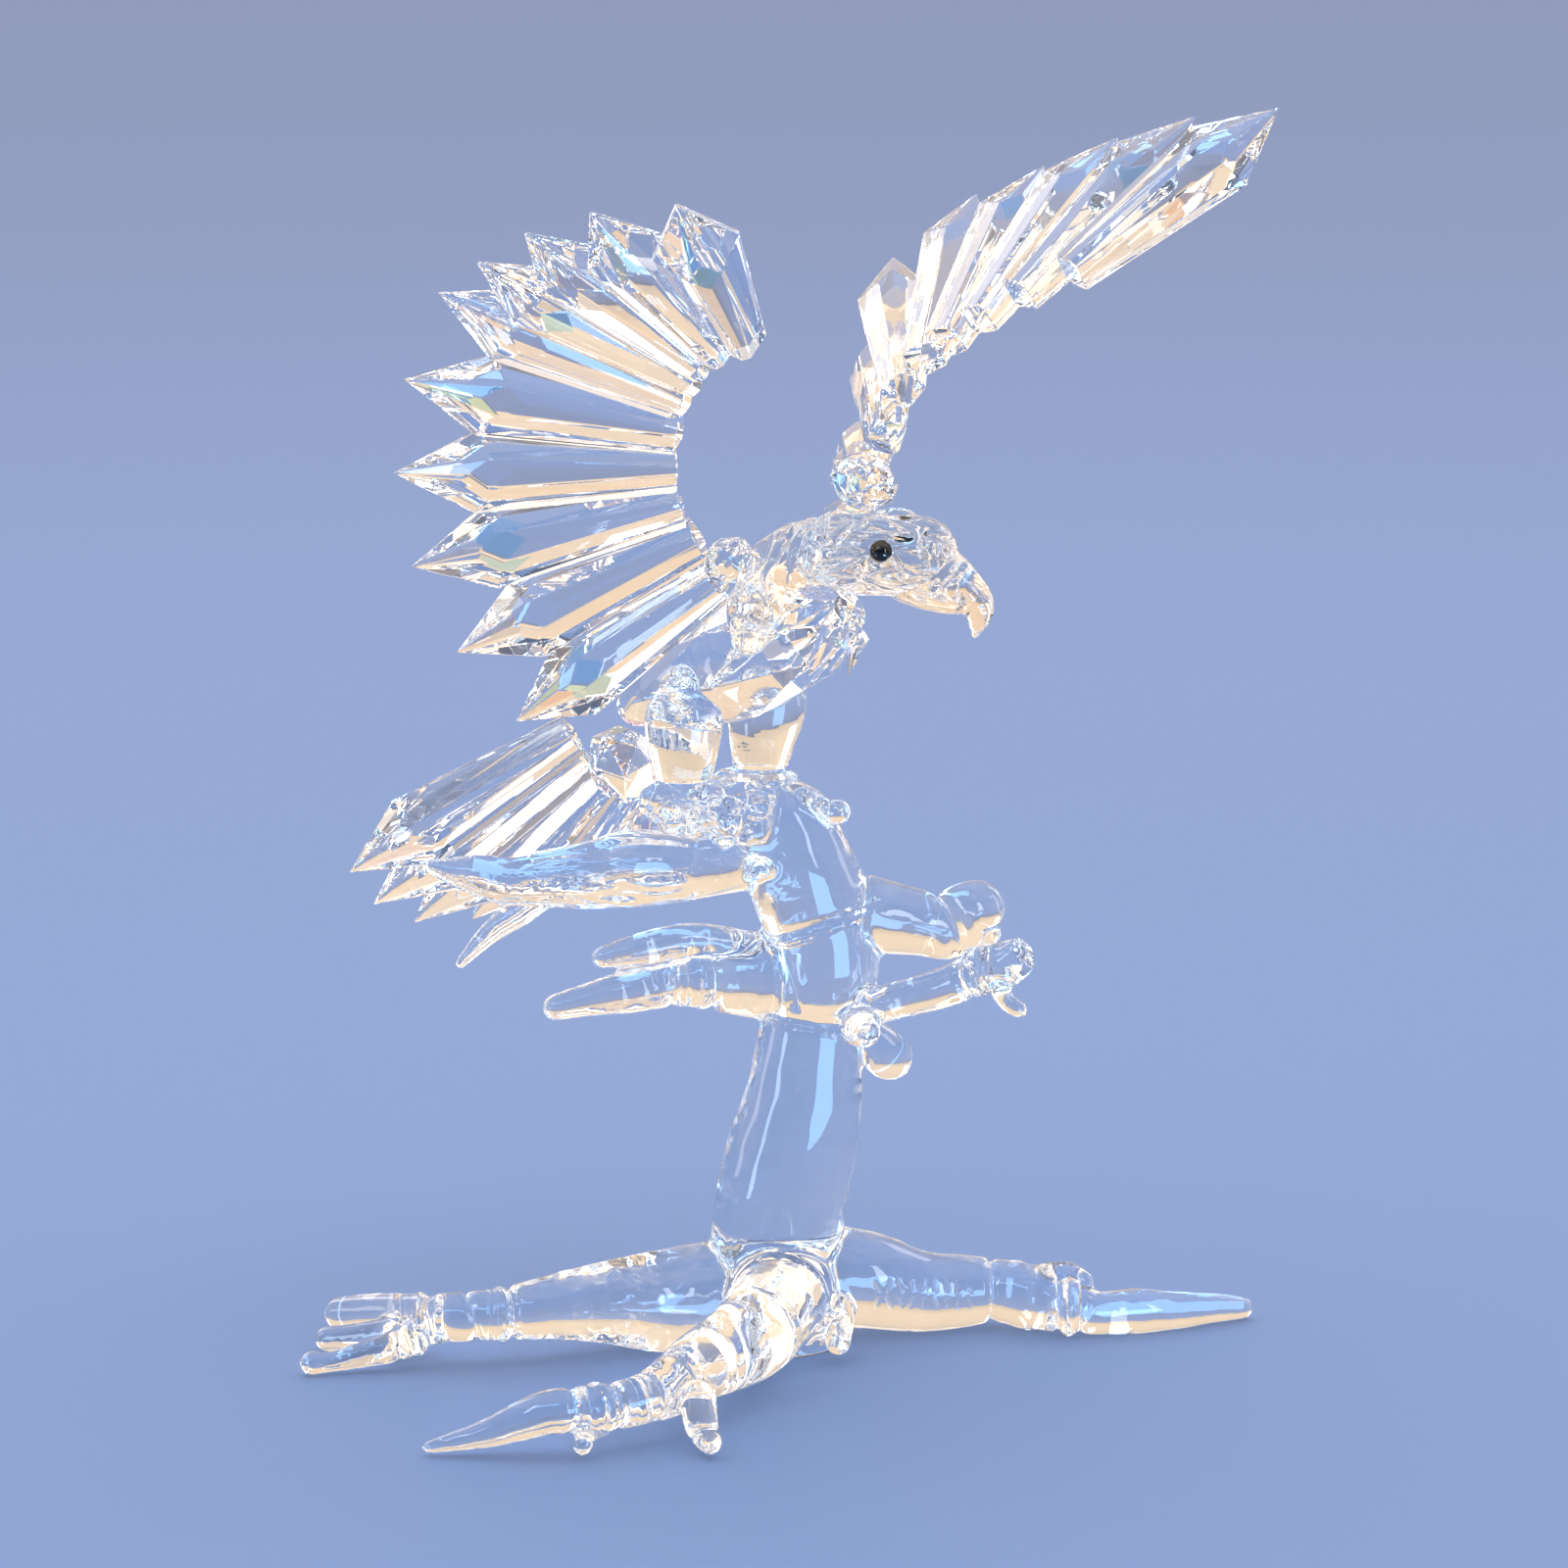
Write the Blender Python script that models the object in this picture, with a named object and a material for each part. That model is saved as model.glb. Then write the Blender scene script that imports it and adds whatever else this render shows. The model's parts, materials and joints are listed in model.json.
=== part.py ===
# Perched crystal eagle: cut prisms and lampworked glass on a glass tree.
# Metres, +Z up, origin on the floor in the middle of the trunk's foot.
# Pose points are in thousandths of the figure height, so the figure keeps its form at any size.

import math

import bmesh
import bpy
from mathutils import Matrix, Quaternion, Vector

# Driving sizes
FIGURE_HEIGHT = 0.1830
GLUE_GAP = 0.0003
EYE_DIAMETER = 0.0027

# A seat is cut a little wider than the glue gap, and points closer than this are one point
SEAT_GAP = 1.16 * GLUE_GAP
SAME_POINT = 1e-7

# Proportions of the cut prisms, as shares of the figure height
PRISM_LENGTH = 0.2186 * FIGURE_HEIGHT
PRISM_WIDTH = 0.0645 * FIGURE_HEIGHT
PRISM_BASE_WIDTH = 0.0366 * FIGURE_HEIGHT
PRISM_THICKNESS = 0.0415 * FIGURE_HEIGHT
PRISM_BASE_THICKNESS = 0.0328 * FIGURE_HEIGHT
GIRDLE_THICKNESS = 0.0028 * FIGURE_HEIGHT

# Proportions of the prism facets, as shares of the prism's length and width
SHOULDER = 0.71
DIAMOND_BACK = 0.574
DIAMOND_FRONT = 0.74
DIAMOND_SIDE = 0.66
DIAMOND_HALF_WIDTH = 0.19

# How far each prism of a fan is turned about its own length, so that it overlaps the next one
NEAR_WING_TURN = math.radians(33)
FAR_WING_TURN = math.radians(48)
TAIL_TURN = math.radians(45)

# Round work
LIMB_SIDES = 12
THIN_LIMB_SIDES = 9
THIN_LIMB_RADIUS = 24
HEAD_SIDES = 16
EYE_SIDES = 16
EYE_RINGS = 8
LUMP_SUBDIVISIONS = 2
CAP_REACH = 0.62
CAP_RADIUS = 0.80
FLAT_ANGLE = math.radians(0.5)

# Heights in thousandths of the figure height, and how far a cutting slab reaches
ANKLE_LEVEL = 471
FLOOR_LEVEL = 0
SLAB_SHARE = 3

NEAR_WING = (
    ((-48, -43, 635), (-211, 27, 508)),
    ((-63, -45, 668), (-256, -11, 571)),
    ((-76, -60, 698), (-288, -52, 647)),
    ((-80, -79, 728), (-297, -100, 728)),
    ((-78, -94, 760), (-284, -149, 807)),
    ((-73, -119, 788), (-254, -200, 879)),
    ((-65, -153, 808), (-221, -268, 909)),
    ((-60, -196, 825), (-183, -338, 938)),
    ((-47, -242, 841), (-133, -404, 959)),
    ((-27, -288, 854), (-71, -468, 971)),
)
FAR_WING = (
    ((28, 2, 628), (46, 210, 564)),
    ((51, 18, 666), (58, 234, 638)),
    ((68, 33, 700), (75, 251, 712)),
    ((85, 49, 735), (87, 258, 791)),
    ((99, 61, 771), (95, 262, 855)),
    ((116, 54, 797), (163, 235, 911)),
    ((132, 27, 814), (216, 185, 938)),
    ((156, 8, 834), (273, 137, 966)),
    ((188, -12, 856), (332, 88, 987)),
    ((227, -37, 876), (393, 37, 997)),
)
TAIL = (
    ((-167, 60, 490), (-352, 69, 373)),
    ((-161, 98, 465), (-337, 116, 335)),
    ((-152, 131, 446), (-308, 187, 303)),
    ((-142, 161, 430), (-264, 271, 286)),
    ((-128, 191, 419), (-206, 347, 287)),
    ((-107, 226, 415), (-132, 408, 308)),
)

# Glass limbs as points on the middle line with a radius at each point
TRUNK = (
    (-4, 0, -11, 62), (-4, 0, 18, 59), (-3, 0, 60, 56), (-1, 0, 102, 54), (5, 0, 135, 54),
    (13, 0, 168, 52), (20, 0, 201, 49), (23, 0, 232, 45), (27, 0, 262, 42),
)
TREE_TOP = (
    (26, 0, 262, 35), (31, 0, 282, 42), (36, 0, 308, 45), (37, 0, 337, 45), (24, 0, 371, 46),
    (13, -3, 400, 45), (0, -5, 426, 42), (-20, -11, 441, 35),
)
TREE_LIMBS = (
    # grained branch to the left, its rounded end on the front of the trunk, with a hanging twig
    (
        (-274, -73, 411, 8), (-261, -70, 407, 12), (-244, -66, 404, 17), (-214, -58, 396, 21),
        (-183, -50, 397, 25), (-152, -42, 397, 29), (-121, -34, 399, 33), (-90, -28, 399, 31),
        (-63, -30, 398, 26), (-39, -38, 399, 17), (-13, -48, 403, 9),
    ),
    ((-63, -24, 399, 26), (-39, -14, 401, 26), (-16, -10, 400, 23)),
    ((-183, -46, 388, 15), (-206, -55, 370, 13), (-229, -66, 355, 10), (-252, -77, 333, 6)),
    # forked branch to the left
    (
        (-4, 0, 312, 27), (-28, -8, 325, 19), (-51, -16, 336, 14), (-75, -24, 339, 14),
        (-98, -32, 336, 14), (-121, -40, 333, 12), (-141, -46, 330, 9),
    ),
    (
        (-8, 0, 300, 34), (-40, -10, 302, 28), (-63, -18, 305, 24), (-91, -27, 303, 20),
        (-122, -36, 299, 18), (-153, -46, 295, 14), (-178, -54, 291, 11),
    ),
    # upper right branch with a round knob
    (
        (51, 0, 357, 36), (83, 5, 351, 31), (115, 11, 344, 27), (143, 18, 336, 24),
        (167, 27, 332, 14),
    ),
    ((131, 20, 346, 19), (151, 28, 350, 24), (160, 32, 352, 24)),
    # front right branch with a knob and a curled end
    (
        (35, -12, 276, 20), (53, -18, 276, 17), (82, -40, 290, 16), (113, -56, 302, 16),
        (144, -72, 317, 17), (161, -82, 329, 19), (180, -92, 337, 19), (186, -94, 341, 17),
    ),
    ((178, -98, 341, 13), (183, -104, 348, 11), (186, -110, 355, 8)),
    ((177, -98, 331, 12), (174, -103, 320, 10), (178, -106, 310, 8), (189, -108, 303, 7)),
    # stubs to the front, to the back and beside the feet
    ((52, -8, 273, 16), (61, -22, 273, 16), (65, -52, 273, 15), (68, -84, 279, 14)),
    ((45, -4, 268, 18), (58, 5, 256, 19), (78, 24, 239, 20), (90, 40, 225, 20)),
    ((4, -11, 448, 22), (27, -19, 446, 16), (45, -27, 445, 9)),
    # left root with three toes
    (
        (-4, 0, 45, 44), (-40, -6, 37, 46), (-76, -16, 35, 46), (-108, -32, 39, 41),
        (-155, -52, 43, 31), (-201, -68, 43, 24), (-225, -74, 42, 21), (-252, -78, 41, 21),
        (-276, -78, 40, 20),
    ),
    ((-280, -66, 40, 16), (-310, -36, 32, 14), (-341, -6, 22, 14), (-360, 12, 15, 13)),
    ((-280, -72, 34, 14), (-313, -60, 21, 12), (-345, -50, 12, 10), (-368, -44, 9, 8)),
    (
        (-280, -78, 29, 14), (-311, -90, 19, 12), (-342, -96, 12, 10), (-365, -101, 9, 8),
        (-379, -104, 8, 6),
    ),
    # front root with two short toes
    (
        (4, -11, 54, 43), (1, -49, 49, 41), (-10, -104, 48, 38), (-29, -158, 45, 35),
        (-61, -205, 42, 28), (-87, -245, 36, 23), (-105, -262, 34, 20), (-146, -288, 35, 19),
        (-175, -295, 35, 18), (-220, -295, 19, 12), (-250, -295, 11, 8), (-268, -295, 7, 5),
    ),
    ((-62, -262, 34, 15), (-59, -282, 19, 14), (-53, -298, 12, 10)),
    ((-137, -288, 33, 13), (-147, -295, 18, 11), (-150, -301, 10, 8)),
    # right root with a curled nub and a long toe
    (
        (4, 0, 50, 44), (68, 5, 46, 41), (117, 14, 33, 34), (149, 20, 31, 31),
        (181, 20, 31, 27), (209, 14, 27, 26), (239, 5, 22, 23),
    ),
    ((213, 11, 38, 19), (240, 14, 44, 14), (248, 14, 41, 11)),
    (
        (237, 5, 19, 20), (261, 6, 17, 18), (294, 12, 17, 19), (327, 20, 15, 16),
        (360, 32, 13, 13), (383, 42, 10, 10),
    ),
    # small toe at the foot of the trunk, and the plain short root behind it
    ((45, -30, 37, 15), (48, -55, 26, 13), (47, -72, 17, 11)),
    ((4, 22, 50, 36), (12, 88, 32, 25), (18, 142, 13, 15)),
)

# Melted glass that grips the tree top: points with a radius
FOOT_LUMPS = (
    (-93, -38, 460, 16), (-76, -27, 463, 17), (-57, -38, 464, 17), (-83, -49, 445, 16),
    (-64, -55, 442, 16), (-45, -55, 445, 17), (-37, -27, 461, 20), (-20, -11, 458, 21),
    (-2, 0, 452, 22), (-20, -44, 441, 16), (-25, -55, 432, 10), (-39, -55, 434, 10),
    (9, -5, 440, 20), (-34, 16, 465, 17), (-12, 27, 464, 19), (-55, -16, 470, 15),
)

NEAR_THIGH = (
    (-76, -24, 462, 20), (-76, -25, 486, 26), (-76, -25, 512, 31), (-75, -24, 528, 30),
    (-74, -22, 542, 22),
)
FAR_THIGH = (
    (-16, 25, 462, 20), (-14, 28, 488, 26), (-10, 28, 516, 31), (-6, 28, 536, 29),
    (-2, 28, 548, 22),
)

HEAD_CORE = (
    (-23, -102, 600, 15), (-20, -93, 614, 22), (-10, -70, 629, 27), (1, -44, 641, 32),
    (19, -36, 650, 34), (42, -41, 654, 36), (64, -48, 656, 36), (81, -54, 656, 35),
    (96, -57, 656, 35), (107, -60, 657, 34),
)
BEAK = (
    (100, -58, 647, 28), (123, -66, 640, 27), (138, -70, 633, 23), (148, -73, 627, 18),
    (155, -75, 619, 14), (156, -75, 610, 10), (154, -75, 601, 6), (153, -75, 597, 3),
)
HEAD_FLATNESS = 0.88
HEAD_SIDEWAYS = (0.33, 0.944, 0.0)
NEAR_BROW = ((46, -64, 671, 7), (64, -70, 680, 8), (84, -76, 681, 8), (102, -80, 673, 6))
EYE_MIDDLE = (90, -52, 664)
EYE_REACH = 32

BODY_TAIL_END = (-122, 84, 507)
BODY_CHEST_END = (55, -88, 617)
BODY_RINGS = ((0.0, 15), (0.2, 36), (0.56, 51), (0.86, 38), (1.0, 18))
STONE_RINGS = ((0.0, 0.45), (0.34, 1.0), (0.68, 0.95), (1.0, 0.45))
BODY_SIDES = 7
TAIL_STONE_SIDES = 5
SHOULDER_STONE_SIDES = 8

TAIL_STONE = ((-108, 49, 482), (-146, 62, 452), 34)
NEAR_SHOULDER_STONE = ((-53, -83, 646), (-26, -93, 671), 18)
FAR_SHOULDER_STONE = ((60, -10, 690), (74, 6, 724), 29)

POSE_UNIT = FIGURE_HEIGHT / 1000


def at(point):
    return Vector(point[:3]) * POSE_UNIT


def glass(name, colour, roughness):
    material = bpy.data.materials.new(name)
    material.use_nodes = True
    shader = material.node_tree.nodes["Principled BSDF"]
    shader.inputs["Base Color"].default_value = (*colour, 1.0)
    shader.inputs["Roughness"].default_value = roughness
    shader.inputs["Metallic"].default_value = 0.0
    material.diffuse_color = (*colour, 1.0)
    return material


def add_object(name, bm, material, smooth):
    bmesh.ops.recalc_face_normals(bm, faces=bm.faces)
    mesh = bpy.data.meshes.new(name)
    bm.to_mesh(mesh)
    bm.free()
    mesh.materials.append(material)
    mesh.polygons.foreach_set("use_smooth", [smooth] * len(mesh.polygons))
    obj = bpy.data.objects.new(name, mesh)
    bpy.context.scene.collection.objects.link(obj)
    return obj


def combine(target, tools, operation):
    for tool in tools:
        modifier = target.modifiers.new("combine", "BOOLEAN")
        modifier.operation = operation
        modifier.solver = "EXACT"
        modifier.object = tool
        bpy.context.view_layer.update()
        graph = bpy.context.evaluated_depsgraph_get()
        mesh = bpy.data.meshes.new_from_object(target.evaluated_get(graph))
        target.modifiers.clear()
        target.data = mesh
        bpy.data.objects.remove(tool)


def cut_plane(bm, point, normal):
    geometry = bm.verts[:] + bm.edges[:] + bm.faces[:]
    result = bmesh.ops.bisect_plane(
        bm, geom=geometry, dist=SAME_POINT, plane_co=point, plane_no=normal, clear_outer=True
    )
    rim = [item for item in result["geom_cut"] if isinstance(item, bmesh.types.BMEdge)]
    rim = [edge for edge in rim if edge.is_boundary]
    if rim:
        bmesh.ops.edgeloop_fill(bm, edges=rim)


def cut_facet(bm, first, second, third, inside):
    normal = (second - first).cross(third - first).normalized()
    if normal.dot(inside - first) > 0:
        normal.negate()
    cut_plane(bm, first, normal)


def prism(name, base, tip, sideways, turn, material):
    """A long spear prism: a diamond table, shallow long facets, side bevels and a faceted tip."""
    length = PRISM_LENGTH
    half_width = PRISM_WIDTH / 2
    base_half_width = PRISM_BASE_WIDTH / 2
    girdle = GIRDLE_THICKNESS / 2
    bm = bmesh.new()
    block = Matrix.Diagonal((length, PRISM_WIDTH, PRISM_THICKNESS, 1))
    bmesh.ops.create_cube(bm, size=1, matrix=Matrix.Translation((length / 2, 0, 0)) @ block)
    inside = Vector((length / 2, 0, 0))
    for up in (1, -1):
        for side in (1, -1):
            shoulder = Vector((SHOULDER * length, side * half_width, up * girdle))
            corner = Vector((0, side * base_half_width, up * girdle))
            point = Vector((length, 0, up * girdle))
            ridge = Vector((0, 0, up * PRISM_BASE_THICKNESS / 2))
            top = up * PRISM_THICKNESS / 2
            back = Vector((DIAMOND_BACK * length, 0, top))
            front = Vector((DIAMOND_FRONT * length, 0, top))
            rim = Vector((DIAMOND_SIDE * length, side * 2 * DIAMOND_HALF_WIDTH * half_width, top))
            cut_facet(bm, corner, shoulder, rim, inside)
            cut_facet(bm, shoulder, point, rim, inside)
            cut_facet(bm, ridge, back, rim, inside)
            cut_facet(bm, rim, front, point, inside)
            if up > 0:
                deep = Vector((0, 0, PRISM_THICKNESS))
                cut_facet(bm, corner, shoulder, corner + deep, inside)
                cut_facet(bm, shoulder, point, point + deep, inside)
    along = (at(tip) - at(base)).normalized()
    across = (sideways - sideways.dot(along) * along).normalized()
    across.rotate(Quaternion(along, turn))
    facing = along.cross(across)
    place = Matrix((along, across, facing)).transposed().to_4x4()
    place.translation = at(base)
    bmesh.ops.transform(bm, matrix=place, verts=bm.verts)
    return add_object(name, bm, material, False)


def fan(prefix, rows, turn, material):
    """Equal prisms in a row, each turned out of the row so that it overlaps the next one."""
    shoulders = [at(base).lerp(at(tip), SHOULDER) for base, tip in rows]
    for index, (base, tip) in enumerate(rows):
        before = shoulders[max(index - 1, 0)]
        after = shoulders[min(index + 1, len(rows) - 1)]
        name = f"{prefix}_{index + 1:02d}"
        prism(name, base, tip, after - before, turn, material)


def ring_points(middle, along, start, radius, sides, flatness):
    """One ring round the middle line, with its first direction kept level with the last ring."""
    first = (start - start.dot(along) * along).normalized()
    second = along.cross(first)
    points = []
    for step in range(sides):
        angle = 2 * math.pi * step / sides
        offset = first * math.cos(angle) * flatness + second * math.sin(angle)
        points.append(middle + offset * radius)
    return first, points


def limb_mesh(rows, sides, sideways, flatness):
    """A rod with a radius at each point and rounded ends."""
    middles = [at(row) for row in rows]
    radii = [row[3] * POSE_UNIT for row in rows]
    head = (middles[0] - middles[1]).normalized()
    tail = (middles[-1] - middles[-2]).normalized()
    stations = [(middles[0] + head * radii[0] * CAP_REACH, radii[0] * CAP_RADIUS)]
    stations += list(zip(middles, radii))
    stations.append((middles[-1] + tail * radii[-1] * CAP_REACH, radii[-1] * CAP_RADIUS))
    bm = bmesh.new()
    start = Vector(sideways)
    rings = []
    for index, (middle, radius) in enumerate(stations):
        before = stations[max(index - 1, 0)][0]
        after = stations[min(index + 1, len(stations) - 1)][0]
        along = (after - before).normalized()
        start, points = ring_points(middle, along, start, radius, sides, flatness)
        rings.append([bm.verts.new(point) for point in points])
    for lower, upper in zip(rings, rings[1:]):
        for step in range(sides):
            following = (step + 1) % sides
            bm.faces.new((lower[step], lower[following], upper[following], upper[step]))
    poles = (
        (rings[0], middles[0] + head * radii[0]),
        (rings[-1], middles[-1] + tail * radii[-1]),
    )
    for ring, pole_point in poles:
        pole = bm.verts.new(pole_point)
        for step in range(sides):
            bm.faces.new((ring[step], ring[(step + 1) % sides], pole))
    return bm


def limb(name, rows, material, sides=None, sideways=(0.2, 0.95, 0.1), flatness=1.0):
    if sides is None:
        thin = max(row[3] for row in rows) <= THIN_LIMB_RADIUS
        sides = THIN_LIMB_SIDES if thin else LIMB_SIDES
    return add_object(name, limb_mesh(rows, sides, sideways, flatness), material, True)


def ball(name, middle, radius, material):
    bm = bmesh.new()
    bmesh.ops.create_uvsphere(
        bm, u_segments=EYE_SIDES, v_segments=EYE_RINGS, radius=radius,
        matrix=Matrix.Translation(middle),
    )
    return add_object(name, bm, material, True)


def lump(name, row, material):
    bm = bmesh.new()
    bmesh.ops.create_icosphere(
        bm, subdivisions=LUMP_SUBDIVISIONS, radius=row[3] * POSE_UNIT,
        matrix=Matrix.Translation(at(row)),
    )
    return add_object(name, bm, material, True)


def slab(name, level, upwards, material):
    """A block that clears everything above or below one level."""
    size = SLAB_SHARE * FIGURE_HEIGHT
    middle = level + (size if upwards else -size) / 2
    bm = bmesh.new()
    bmesh.ops.create_cube(bm, size=size, matrix=Matrix.Translation((0, 0, middle)))
    return add_object(name, bm, material, False)


def cut_stone(name, start, end, rings, sides, grow, material):
    """A cut stone: the hull of rings, every second one turned by half a side."""
    first = at(start)
    last = at(end)
    along = (last - first).normalized()
    sideways = along.orthogonal()
    bm = bmesh.new()
    for index, (share, radius) in enumerate(rings):
        middle = first.lerp(last, share)
        middle += along * grow * (2 * share - 1)
        turn = Matrix.Rotation(math.pi / sides * (index % 2), 3, along)
        _, points = ring_points(
            middle, along, turn @ sideways, radius * POSE_UNIT + grow, sides, 1.0
        )
        for point in points:
            bm.verts.new(point)
    hull = bmesh.ops.convex_hull(bm, input=bm.verts)
    loose = [item for item in hull["geom_interior"] if isinstance(item, bmesh.types.BMVert)]
    bmesh.ops.delete(bm, geom=loose, context="VERTS")
    bmesh.ops.dissolve_limit(bm, angle_limit=FLAT_ANGLE, verts=bm.verts[:], edges=bm.edges[:])
    return add_object(name, bm, material, False)


def body_stone(name, grow, material):
    return cut_stone(
        name, BODY_TAIL_END, BODY_CHEST_END, BODY_RINGS, BODY_SIDES, grow, material
    )


def small_stone(name, placing, sides, material):
    start, end, radius = placing
    rings = [(share, radius * size) for share, size in STONE_RINGS]
    return cut_stone(name, start, end, rings, sides, 0.0, material)


for old in list(bpy.data.objects):
    bpy.data.objects.remove(old)

cut_crystal = glass("cut_crystal", (0.93, 0.94, 0.95), 0.02)
lamp_glass = glass("lampworked_glass", (0.90, 0.93, 0.94), 0.06)
black_glass = glass("black_glass", (0.01, 0.01, 0.01), 0.08)

# Tree: trunk, top, branches, roots and the melted feet are one fused piece
tree = limb("tree", TRUNK, lamp_glass)
tree_parts = [limb("tree_part", TREE_TOP, lamp_glass)]
tree_parts += [limb("tree_part", rows, lamp_glass) for rows in TREE_LIMBS]
tree_parts += [lump("tree_part", row, lamp_glass) for row in FOOT_LUMPS]
combine(tree, tree_parts, "UNION")
ankle = ANKLE_LEVEL * POSE_UNIT
tree_cuts = [
    slab("tree_cut", FLOOR_LEVEL * POSE_UNIT, False, lamp_glass),
    slab("tree_cut", ankle - GLUE_GAP / 2, True, lamp_glass),
]
combine(tree, tree_cuts, "DIFFERENCE")

# Body, and what is glued to it
body = body_stone("body", 0.0, cut_crystal)
for name, rows in (("near_thigh", NEAR_THIGH), ("far_thigh", FAR_THIGH)):
    thigh = limb(name, rows, lamp_glass)
    thigh_cuts = [
        slab("thigh_cut", ankle + GLUE_GAP / 2, False, lamp_glass),
        body_stone("thigh_cut", SEAT_GAP, cut_crystal),
    ]
    combine(thigh, thigh_cuts, "DIFFERENCE")

# Head with brow ridges, sockets for the eyes, and a neck that is seated on the body
sideways_of_head = Vector(HEAD_SIDEWAYS).normalized()
head_middle = at(EYE_MIDDLE)
head = limb("head", HEAD_CORE, lamp_glass, HEAD_SIDES, HEAD_SIDEWAYS, HEAD_FLATNESS)
beak = limb("head_part", BEAK, lamp_glass, HEAD_SIDES, HEAD_SIDEWAYS, HEAD_FLATNESS)
near_brow = limb("head_part", NEAR_BROW, lamp_glass)
far_brow = limb("head_part", NEAR_BROW, lamp_glass)
mirror = Matrix.Translation(head_middle)
mirror @= Matrix.Identity(4) - 2 * Matrix(
    [[*(sideways_of_head * part), 0] for part in sideways_of_head] + [[0, 0, 0, 0]]
)
mirror @= Matrix.Translation(-head_middle)
far_brow.data.transform(mirror)
far_brow.data.flip_normals()
combine(head, [beak, near_brow, far_brow], "UNION")
eye_offset = sideways_of_head * EYE_REACH * POSE_UNIT
eye_radius = EYE_DIAMETER / 2
head_cuts = [body_stone("head_cut", SEAT_GAP, cut_crystal)]
for name, direction in (("near_eye", -1), ("far_eye", 1)):
    middle = head_middle + eye_offset * direction
    ball(name, middle, eye_radius, black_glass)
    head_cuts.append(ball("head_cut", middle, eye_radius + SEAT_GAP, black_glass))
combine(head, head_cuts, "DIFFERENCE")

# Cut stones at the joints
small_stone("tail_stone", TAIL_STONE, TAIL_STONE_SIDES, cut_crystal)
small_stone("near_shoulder_stone", NEAR_SHOULDER_STONE, SHOULDER_STONE_SIDES, cut_crystal)
small_stone("far_shoulder_stone", FAR_SHOULDER_STONE, SHOULDER_STONE_SIDES, cut_crystal)

# Wings and tail
fan("near_wing_prism", NEAR_WING, NEAR_WING_TURN, cut_crystal)
fan("far_wing_prism", FAR_WING, FAR_WING_TURN, cut_crystal)
fan("tail_prism", TAIL, TAIL_TURN, cut_crystal)
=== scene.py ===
import json
import math

import bmesh
import bpy
import numpy as np
from mathutils import Matrix, Vector, noise

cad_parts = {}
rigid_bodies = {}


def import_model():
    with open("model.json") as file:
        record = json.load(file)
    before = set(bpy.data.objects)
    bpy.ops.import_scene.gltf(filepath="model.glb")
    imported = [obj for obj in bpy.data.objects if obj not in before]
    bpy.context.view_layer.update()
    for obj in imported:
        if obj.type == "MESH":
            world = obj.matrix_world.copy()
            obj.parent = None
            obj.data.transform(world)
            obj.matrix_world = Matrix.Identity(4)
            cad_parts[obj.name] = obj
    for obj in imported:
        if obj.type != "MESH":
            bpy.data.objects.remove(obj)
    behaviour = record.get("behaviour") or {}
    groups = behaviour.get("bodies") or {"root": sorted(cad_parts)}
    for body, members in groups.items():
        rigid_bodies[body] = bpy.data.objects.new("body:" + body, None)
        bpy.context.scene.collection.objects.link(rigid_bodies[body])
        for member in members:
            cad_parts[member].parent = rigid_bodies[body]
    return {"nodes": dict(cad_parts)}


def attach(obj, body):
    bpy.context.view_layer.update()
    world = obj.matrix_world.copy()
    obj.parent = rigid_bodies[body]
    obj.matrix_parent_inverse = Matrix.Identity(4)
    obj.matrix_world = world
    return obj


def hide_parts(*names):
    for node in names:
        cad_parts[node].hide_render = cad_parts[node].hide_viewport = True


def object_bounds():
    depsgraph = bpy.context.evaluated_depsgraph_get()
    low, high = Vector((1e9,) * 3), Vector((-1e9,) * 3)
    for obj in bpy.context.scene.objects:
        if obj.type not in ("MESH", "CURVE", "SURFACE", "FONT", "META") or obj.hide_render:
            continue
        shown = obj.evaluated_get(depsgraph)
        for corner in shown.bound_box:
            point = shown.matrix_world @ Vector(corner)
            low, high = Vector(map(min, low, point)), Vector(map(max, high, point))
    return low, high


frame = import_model()
cad_low, cad_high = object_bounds()


# Tree
# One lampworked piece: trunk, top, branches and roots drawn out of clear glass rod and fused in
# the flame, with the bird's feet melted on top as a mass of small blobs. The joints stay as soft
# rings, and the upper left branch is combed into a wood grain.

FIGURE_HEIGHT = 0.1830
UNIT = FIGURE_HEIGHT / 1000
ANKLE = 471 * UNIT
GLUE_GAP = 0.0003
ROD_SIDES = 36
ROD_STEP = 0.0010
CAP_TURNS = (82, 62, 42, 22)
POLE_SHARE = 0.1
FEWEST_RINGS = 4
BLOB_FINENESS = 3
RING_SOFTNESS = 2
TREE_VOXEL = 0.00058
TREE_SETTLING = 5

# Points on each rod's middle line with a radius, all in thousandths of the figure height
TRUNK = (
    (-4, 0, -11, 62), (-4, 0, 18, 59), (-3, 0, 60, 56), (-1, 0, 102, 54), (5, 0, 135, 54),
    (13, 0, 168, 52), (20, 0, 201, 49), (23, 0, 232, 45), (27, 0, 262, 42),
)
TREE_TOP = (
    (26, 0, 262, 35), (31, 0, 282, 42), (36, 0, 308, 45), (37, 0, 337, 45), (24, 0, 371, 46),
    (13, -3, 400, 45), (0, -5, 426, 42), (-20, -11, 441, 35),
)
GRAINED_BRANCH = (
    (-274, -73, 411, 8), (-261, -70, 407, 12), (-244, -66, 404, 17), (-214, -58, 396, 21),
    (-183, -50, 397, 25), (-152, -42, 397, 29), (-121, -34, 399, 33), (-90, -28, 399, 31),
    (-63, -30, 398, 26), (-39, -38, 399, 17), (-13, -48, 403, 9),
)
HANGING_TWIG = (
    (-183, -46, 388, 15), (-206, -55, 370, 13), (-229, -66, 355, 10), (-252, -77, 333, 6),
)
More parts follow.
